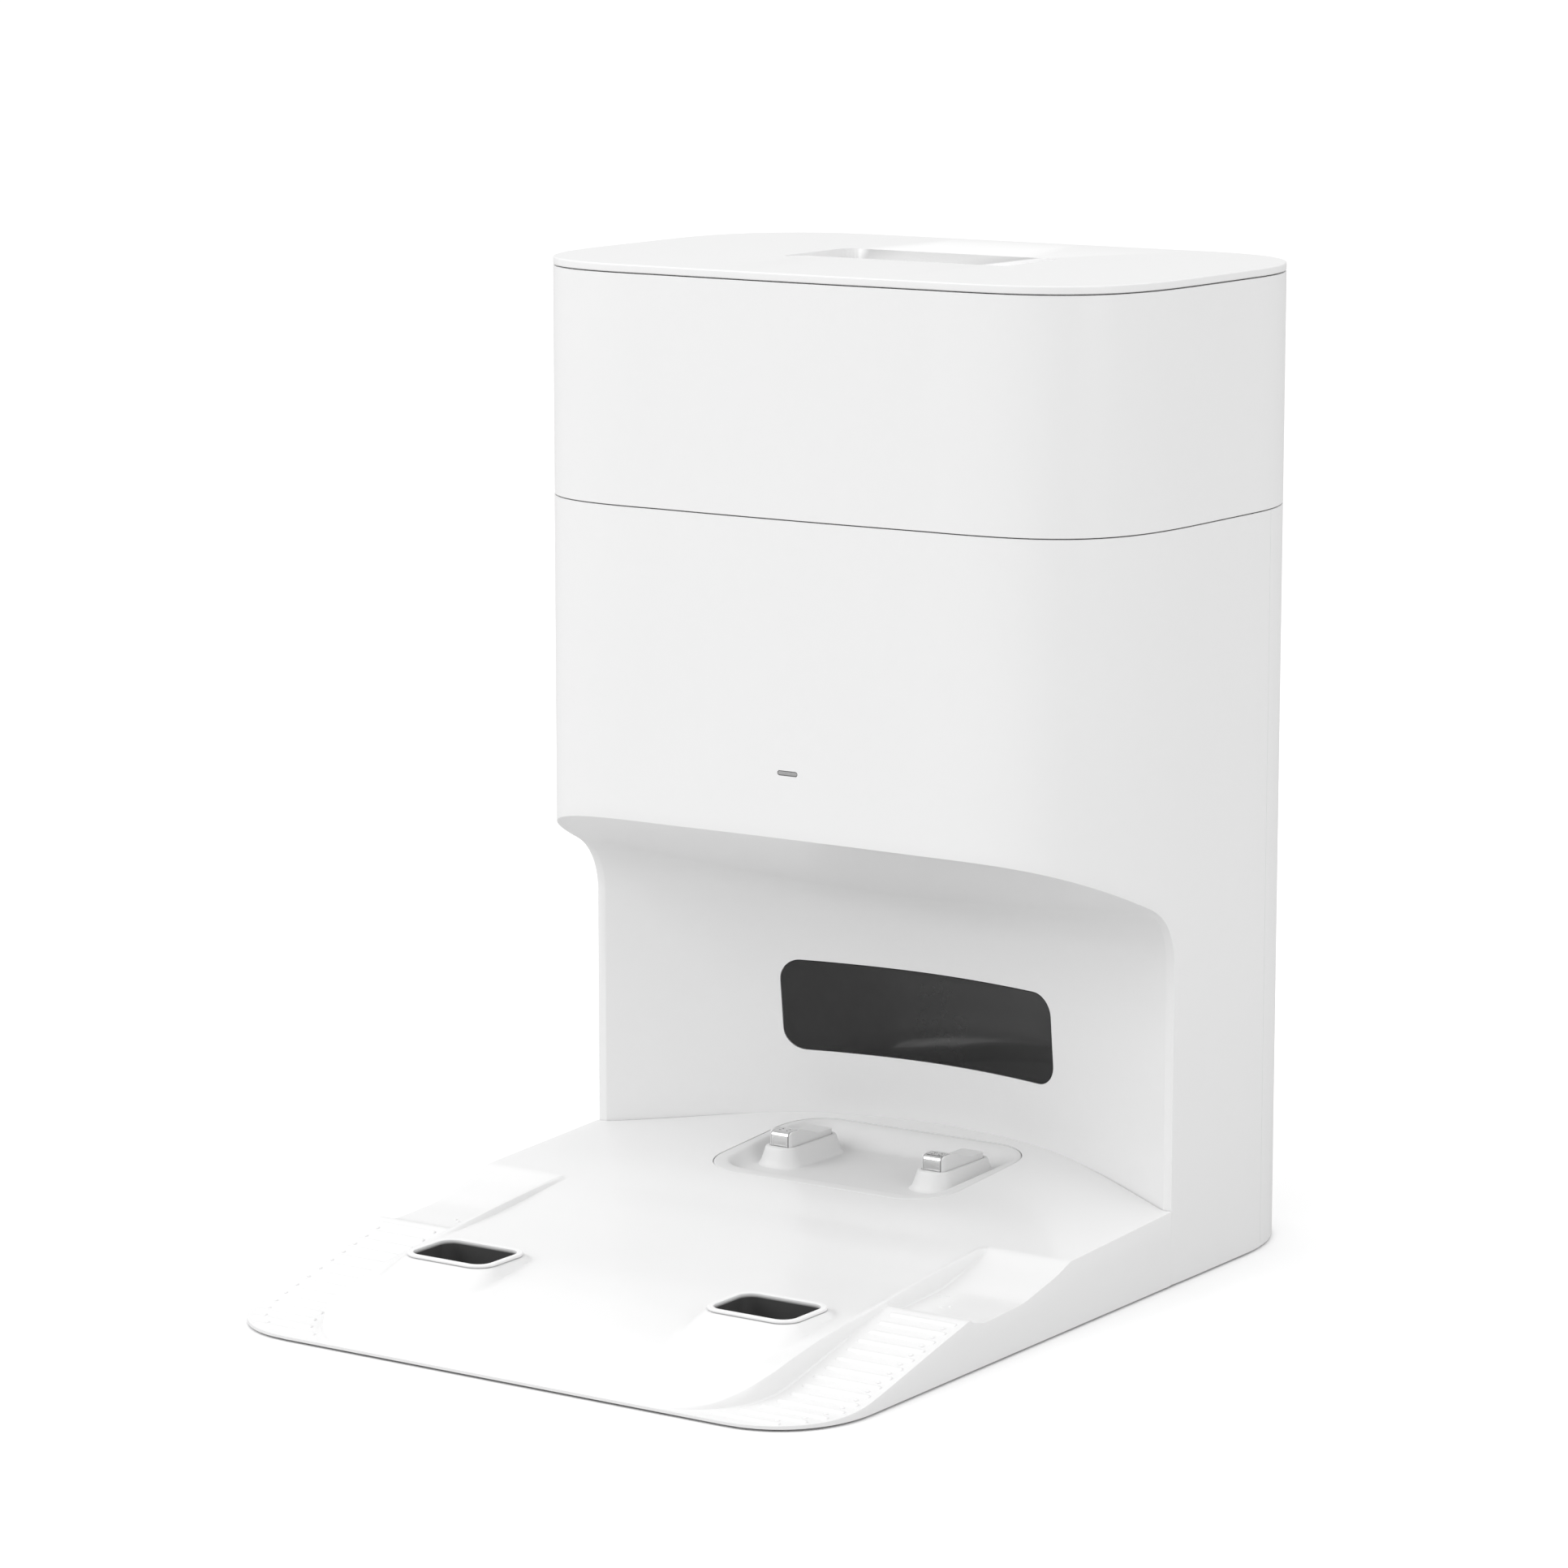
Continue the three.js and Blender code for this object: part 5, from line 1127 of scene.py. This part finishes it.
# contact blocks and their strips, which slide down together
def sideProfile(name, points, half):
    # a prism across X from (y, z) points
    count = len(points)
    corners = [(-half, y, z) for y, z in points] + [(half, y, z) for y, z in points]
    faces = [tuple(range(count)), tuple(range(2 * count - 1, count - 1, -1))]
    faces += [(i, i + count, (i + 1) % count + count, (i + 1) % count) for i in range(count)]
    piece = sheet(name, corners, faces)
    agreeNormals(piece)
    return piece


def bend(centreY, centreZ, radius, start, end, count=8):
    return [(centreY + radius * math.cos(math.radians(start + (end - start) * i / count)),
             centreZ + radius * math.sin(math.radians(start + (end - start) * i / count)))
             for i in range(count + 1)]


def makeBlock(name):
    half, top, rear = contact["block"][1] / 2, contact["blockTop"], contact["rearTop"]
    outline = [(-half, contact["low"]), (half, contact["low"]), (half, rear - 0.0006),
               (half - 0.0008, rear)]
    outline += [(half - 0.0135, rear), (-half + 0.0150, top - 0.0014), (-half + 0.0098, top - 0.0001)]
    outline += bend(-half + 0.0030, top - 0.0030, 0.0030, 90, 180)
    piece = sideProfile(name, outline, contact["block"][0] / 2)
    plan = rounded("plan", *contact["block"], 0.03, 0.06)
    keepInside(piece, plan)
    seat = block("seat", (-0.0053, -half - 0.001, top - 0.0094), (0.0053, -half + 0.0097, top + 0.002))
    keep = sideProfile("keep",
                       [(-half + 0.0009, 0.03), (0.03, 0.03), (0.03, top - 0.0009),
                        (-half + 0.0033, top - 0.0009)]
                       + bend(-half + 0.0033, top - 0.0033, 0.0024, 90, 180), 0.02)
    subtract(seat, keep)
    subtract(piece, seat)
    post = drum("post", 0.0022, (0, 0, 0.0315), (0, 0, contact["low"] + 0.001), 32)
    soften(piece, 0.00025, 2, 40)
    return gather(name, [piece, post])


def makeStrip(name):
    half, top, thick = contact["block"][1] / 2, contact["blockTop"] - 0.0001, 0.0006
    outer = -half + 0.0001
    line = [(outer, top - 0.0089)] + bend(outer + 0.0026, top - 0.0026, 0.0026, 180,
                                          90) + [(-half + 0.0092, top)]
    line += [(-half + 0.0092, top - thick)] + bend(outer + 0.0026, top - 0.0026, 0.0020, 90, 180)
    line += [(outer + thick, top - 0.0089)]
    piece = sideProfile(name, line, 0.0049)
    for x in (-0.0021, 0.0021):
        for y in (-half + 0.0046, -half + 0.0074):
            deselectAll()
            bpy.ops.mesh.primitive_uv_sphere_add(segments=20, ring_count=12, radius=0.0016,
                                                 location=(x, y, top + 0.00125))
            dimple = bpy.context.object
            bpy.ops.object.transform_apply(location=True, rotation=True, scale=True)
            subtract(piece, dimple)
    # a shallow field pressed into the upright face
    field = block("field", (-0.0038, outer - 0.001, top - 0.0080),
                  (0.0038, outer + 0.00015, top - 0.0034))
    subtract(piece, field)
    soften(piece, 0.00012, 2, 40)
    return piece


def nickelPlate():
    finish = Finish("nickel plate")
    smear = finish.noise(160, 3, 0.6)
    grain = finish.noise(2400, 2, 0.5, (1, 6, 1))
    roughness = smear * 0.12 + grain * 0.06 + 0.12
    return finish.close(finish.blend(smear, grey(0.66), grey(0.78)), roughness,
                        finish.bump(grain, 0.04, 0.00005),
                        Metallic=1.0)


nickel = nickelPlate()
contactBlock = makeBlock("contactBlock")
contactStrip = makeStrip("contactStrip")
for name, x in (("left", -contact["x"]), ("right", contact["x"])):
    move = (x, contact["y"], 0)
    dress(copyOf(contactBlock, name + "Block", move), "contact_" + name, satinPlastic, "satin_white",
          "contact_block_" + name)
    dress(copyOf(contactStrip, name + "Strip", move), "contact_" + name, nickel, "nickel",
          "contact_strip_" + name)
bpy.data.objects.remove(contactBlock)
bpy.data.objects.remove(contactStrip)
print("tray and contacts made")


# bag bay: the deck under the lid and the tub that the dust bag hangs in
bay = {"deck": (0.4725, 0.4749), "inset": 0.00335, "half": 0.118, "y": (0.0265, 0.1645), "floor": 0.3549,
       "wall": 0.002, "inletZ": 0.4179, "inletRadius": 0.0206, "filter": (0.0847, 0.0767, 0.0915),
       "switch": (0.138, 0.0715)}
bayMiddle = (0, sum(bay["y"]) / 2)
bayDepth = bay["y"][1] - bay["y"][0]
bagBay = towerBlock("bagBay", *bay["deck"], bay["inset"], 0.7)
tub = rounded("tub", 2 * bay["half"], bayDepth, 0.014, bay["floor"], bay["deck"][1] - 0.0005, bayMiddle,
              12)
unite(bagBay, tub)
subtract(bagBay,
         rounded("tubInside", 2 * (bay["half"] - bay["wall"]), bayDepth - 2 * bay["wall"], 0.012,
                 bay["floor"] + bay["wall"], 0.5, bayMiddle, 12),
         rounded("filterHole", bay["filter"][0], bay["filter"][1], 0.00635, 0.34, 0.37,
                 (0, bay["filter"][2])),
         drum("inletHole", bay["inletRadius"], (0, bay["y"][1] - 0.01, bay["inletZ"]),
              (0, bay["y"][1] + 0.01, bay["inletZ"]),
              64, "Y"),
         drum("switchHole", 0.0019, (*bay["switch"], 0.46), (*bay["switch"], 0.50), 32))
soften(bagBay, 0.0007, 3, 40)
dress(bagBay, "station", satinPlastic, "satin_white", "bag_bay")


# dust bag: non-woven paper, puffed out a little and sagging on its floor
bagLow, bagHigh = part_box("dust_bag")
bag = {
    "low": (bagLow[0] + 0.006, bagLow[1] + 0.005, bagLow[2] + 0.006),
    "high": (bagHigh[0] - 0.006, 0.1400, bagHigh[2] - 0.008),
    "cells": (38, 22, 16), "round": 0.016, "pressure": 1.1, "frames": 22, "reach": 0.009, "neck": 0.0235,
}


def makeBag():
    low, high = bag["low"], bag["high"]
    piece = block("dustBag", low, high)
    for axis, count in enumerate(bag["cells"]):
        for i in range(1, count):
            cut = [0, 0, 0]
            cut[axis] = low[axis] + (high[axis] - low[axis]) * i / count
            normal = [0, 0, 0]
            normal[axis] = 1
            chooseFaces(piece, lambda centre, facing: True)
            bpy.ops.mesh.bisect(plane_co=cut, plane_no=normal)
            bpy.ops.object.mode_set(mode="OBJECT")
    # the box's edges are rounded, and each broad side gets its two gusset folds
    middle = [(a + b) / 2 for a, b in zip(low, high)]
    half = [(b - a) / 2 for a, b in zip(low, high)]
    chance = random.Random(7)
    waves = [(chance.uniform(20, 70), chance.uniform(20, 70), chance.uniform(20, 70),
              chance.uniform(0, 6)) for _ in range(9)]
    for point in piece.data.vertices:
        local = [point.co[i] - middle[i] for i in range(3)]
        core = [max(-half[i] + bag["round"], min(half[i] - bag["round"], local[i])) for i in range(3)]
        away = Vector([a - b for a, b in zip(local, core)])
        if away.length > bag["round"]:
            away *= bag["round"] / away.length
        fold = max(0, abs(local[0]) / half[0] - 0.9) * 10
        gusset = 0.010 * fold * max(0, 1 - abs(local[2]) / half[2]) ** 1.2
        ripple = sum(math.sin(a * local[0] + b * local[1] + c * local[2] + d) for a, b, c,
                     d in waves) * 0.00028
        point.co = Vector(middle) + Vector(core) + away * (1 + ripple / 0.016)
        point.co.x -= math.copysign(gusset, local[0])
        point.co.z += ripple
    return piece


dustBag = makeBag()
rest = [point.co.copy() for point in dustBag.data.vertices]
take(dustBag)
pins = dustBag.vertex_groups.new(name="held")
for point in dustBag.data.vertices:
    near = math.hypot(point.co.x,
                      point.co.z - bay["inletZ"]) < 0.030 and point.co.y > bag["high"][1] - 0.012
    pins.add([point.index], 1.0 if near else 0.0, "REPLACE")
cloth = dustBag.modifiers.new("Cloth", "CLOTH")
cloth.settings.quality = 6
cloth.settings.mass = 0.12
cloth.settings.tension_stiffness = 30
cloth.settings.compression_stiffness = 30
cloth.settings.shear_stiffness = 12
cloth.settings.bending_stiffness = 3.0
cloth.settings.use_pressure = True
cloth.settings.uniform_pressure_force = bag["pressure"]
cloth.settings.vertex_group_mass = "held"
cloth.settings.effector_weights.gravity = 0.25
for frameNumber in range(1, bag["frames"] + 1):
    bpy.context.scene.frame_set(frameNumber)
bpy.ops.object.modifier_apply(modifier="Cloth")
bpy.context.scene.frame_set(1)
limit = [bag["reach"], bag["reach"] * 0.6, bag["reach"] * 0.6]
for point, start in zip(dustBag.data.vertices, rest):
    shift = point.co - start
    point.co = start + Vector([max(-m, min(m, s)) for s, m in zip(shift, limit)])
modify(dustBag, "SUBSURF", levels=1, render_levels=1)
neck = drum("neck", bag["neck"], (0, bag["high"][1] - 0.008, bay["inletZ"]), (0, 0.1555, bay["inletZ"]),
            48, "Y")
unite(dustBag, neck)
smooth(dustBag, 50, weighted=False)


def bagPaper():
    finish = Finish("bag paper")
    fibre = finish.noise(1500, 4, 0.75, (1, 1, 3))
    cloud = finish.noise(34, 3, 0.6)
    emboss = finish.node("ShaderNodeTexVoronoi", {"feature": "DISTANCE_TO_EDGE"},
                         {"Vector": finish.objectPlace, "Scale": 620})
    tone = cloud * 0.5 + fibre * 0.5
    colour = finish.blend(tone, (0.72, 0.67, 0.57, 1), (0.86, 0.82, 0.74, 1))
    height = fibre * 0.7 + emboss * 0.6
    return finish.close(colour, fibre * 0.15 + 0.78, finish.bump(height, 0.5, 0.0002),
                        Specular_IOR_Level=0.25)


paper = bagPaper()
dress(dustBag, "station", paper, "bag_paper", "dust_bag")

collarLow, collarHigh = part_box("bag_collar")
collar = block("bagCollar", collarLow, collarHigh)
chooseEdges(collar, lambda a, b: abs(a.y - b.y) > 1e-5)
bpy.ops.mesh.bevel(offset=0.005, segments=6, affect="EDGES", clamp_overlap=False)
bpy.ops.object.mode_set(mode="OBJECT")
subtract(collar,
         drum("collarHole", 0.018, (0, 0.15, bay["inletZ"]), (0, 0.17, bay["inletZ"]), 48, "Y"),
         uprightPlate("pull", 0.014, bay["inletZ"] + 0.029, bay["inletZ"] + 0.035, 0.15, 0.17, 0.0029))
soften(collar, 0.0003, 2, 40)
card = Finish("collar card")
cardFibre = card.noise(900, 4, 0.7, (1, 4, 1))
cardCloud = card.noise(40, 2)
cardMaterial = card.close(card.blend(cardCloud, (0.50, 0.44, 0.34, 1), (0.60, 0.54, 0.43, 1)),
                          cardFibre * 0.2 + 0.7,
                          card.bump(cardFibre, 0.3, 0.0001))
dress(collar, "station", cardMaterial, "bag_paper", "bag_collar")
print("bag and bay made")


# finishes of the pieces inside, whose shapes stay as they are
def brushedSteel():
    finish = Finish("brushed steel")
    lines = finish.noise(1600, 3, 0.6, (0.05, 1, 1))
    stain = finish.noise(70, 3)
    return finish.close(finish.blend(stain, grey(0.42), grey(0.56)), lines * 0.18 + 0.26,
                        finish.bump(lines, 0.06, 0.0001),
                        Metallic=1.0)


def circuitBoard():
    finish = Finish("circuit board")
    tracks = finish.node("ShaderNodeTexBrick", {"offset": 0.5},
                         {"Vector": finish.objectPlace, "Scale": 130.0, "Mortar Size": 0.05}, 1)
    grain = finish.noise(1200, 2)
    colour = finish.blend(tracks, (0.006, 0.075, 0.03, 1), (0.016, 0.15, 0.06, 1))
    return finish.close(colour, grain * 0.15 + 0.32, finish.bump(tracks, 0.2, 0.00008), Coat_Weight=0.3)


def filterFoam():
    finish = Finish("filter foam")
    pores = finish.node("ShaderNodeTexVoronoi", None, {"Vector": finish.objectPlace, "Scale": 520})
    tone = finish.noise(90, 3)
    colour = finish.blend(pores, grey(0.11), grey(0.03))
    return finish.close(colour, tone * 0.08 + 0.88, finish.bump(pores, 0.9, 0.0005),
                        Specular_IOR_Level=0.2)


finishes = {
    "grey": (greyPlastic,
             ["floor_duct", "riser_duct", "riser_elbow", "ramp_bottom_cover", "housing_floor",
              "chassis_plate",
                           "fan_housing", "fan_cover", "filter_frame", "bag_bracket"]),
    "black": (blackPlastic, ["power_inlet", "power_supply", "fan_impeller", "lid_switch"]),
    "rubber": (darkRubber,
               ["riser_gasket", "fan_mount", "inlet_seal", "lid_seal", "foot_front_left",
                "foot_front_right",
                            "foot_rear_left", "foot_rear_right"]),
    "steel": (brushedSteel(),
              ["contact_spring_left", "contact_spring_right", "fan_motor", "fan_shaft", "hinge_pin_left",
                               "hinge_pin_right"]
                               + [f"{kind}_screw_{i}" for kind in ("cover", "ramp")
                                  for i in range(1, 5)]),
    "board": (circuitBoard(), ["ir_board", "light_board", "main_board"]),
    "foam": (filterFoam(), ["exhaust_filter", "pre_motor_filter"]),
    "soft": (softSleeve, ["switch_plunger"]),
}
for finish, names in finishes.values():
    for name in names:
        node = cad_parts[name]
        node.data.materials.clear()
        node.data.materials.append(finish)
print("inner finishes set")


# light, floor and camera
def areaLight(name, spot, aim, size, power):
    data = bpy.data.lights.new(name, "AREA")
    data.energy = power
    data.shape = "RECTANGLE"
    data.size = size
    data.size_y = size
    light = bpy.data.objects.new(name, data)
    light.location = spot
    light.rotation_euler = (Vector(aim) - Vector(spot)).to_track_quat("-Z", "Y").to_euler()
    bpy.context.scene.collection.objects.link(light)


# the sky of the studio is brighter overhead than at the horizon
world = bpy.data.worlds.new("studio")
bpy.context.scene.world = world
world.use_nodes = True
nodes, links = world.node_tree.nodes, world.node_tree.links
direction = nodes.new("ShaderNodeTexCoord")
split = nodes.new("ShaderNodeSeparateXYZ")
strength = nodes.new("ShaderNodeMapRange")
for name, value in (("From Min", 0.0), ("From Max", 1.0), ("To Min", 0.62), ("To Max", 1.34)):
    strength.inputs[name].default_value = value
links.new(direction.outputs["Generated"], split.inputs["Vector"])
links.new(split.outputs["Z"], strength.inputs["Value"])
links.new(strength.outputs["Result"], nodes["Background"].inputs["Strength"])
nodes["Background"].inputs["Color"].default_value = (1, 1, 1, 1)

# the floor looks white to the camera, and throws back less light than it shows
deselectAll()
bpy.ops.mesh.primitive_plane_add(size=160, location=(0, 0, 0))
floor = bpy.context.object
floor.name = "studioFloor"
floorFinish = Finish("studio floor")
floorTone = floorFinish.noise(3, 2)
seen = floorFinish.node("ShaderNodeLightPath")
floorColour = floorFinish.blend(seen, grey(0.60), floorFinish.blend(floorTone, grey(0.97), grey(0.985)))
floor.data.materials.append(floorFinish.close(floorColour, floorTone * 0.1 + 0.7, Specular_IOR_Level=0.0))

areaLight("key", (-1.7, -1.7, 1.5), (0, 0, 0.25), 1.8, 26)
areaLight("fill", (2.0, -0.5, 0.9), (0, 0, 0.25), 1.2, 7)

view = {
    "lens": 128.10, "sensor": 36, "from": (1.474735, -2.180025, 0.704269),
    "azimuth": 34.093, "elevation": 9.978, "reach": 60,
}
camera = bpy.data.objects.new("camera", bpy.data.cameras.new("camera"))
bpy.context.scene.collection.objects.link(camera)
camera.data.lens = view["lens"]
camera.data.sensor_width = view["sensor"]
camera.location = view["from"]
azimuth, elevation = math.radians(view["azimuth"]), math.radians(view["elevation"])
look = Vector((
    -math.sin(azimuth) * math.cos(elevation),
    math.cos(azimuth) * math.cos(elevation),
    -math.sin(elevation)))
camera.rotation_euler = look.to_track_quat("-Z", "Y").to_euler()
camera.data.clip_end = view["reach"]
bpy.context.scene.camera = camera
bpy.context.scene.view_settings.view_transform = "Standard"
print("light, floor and camera set")
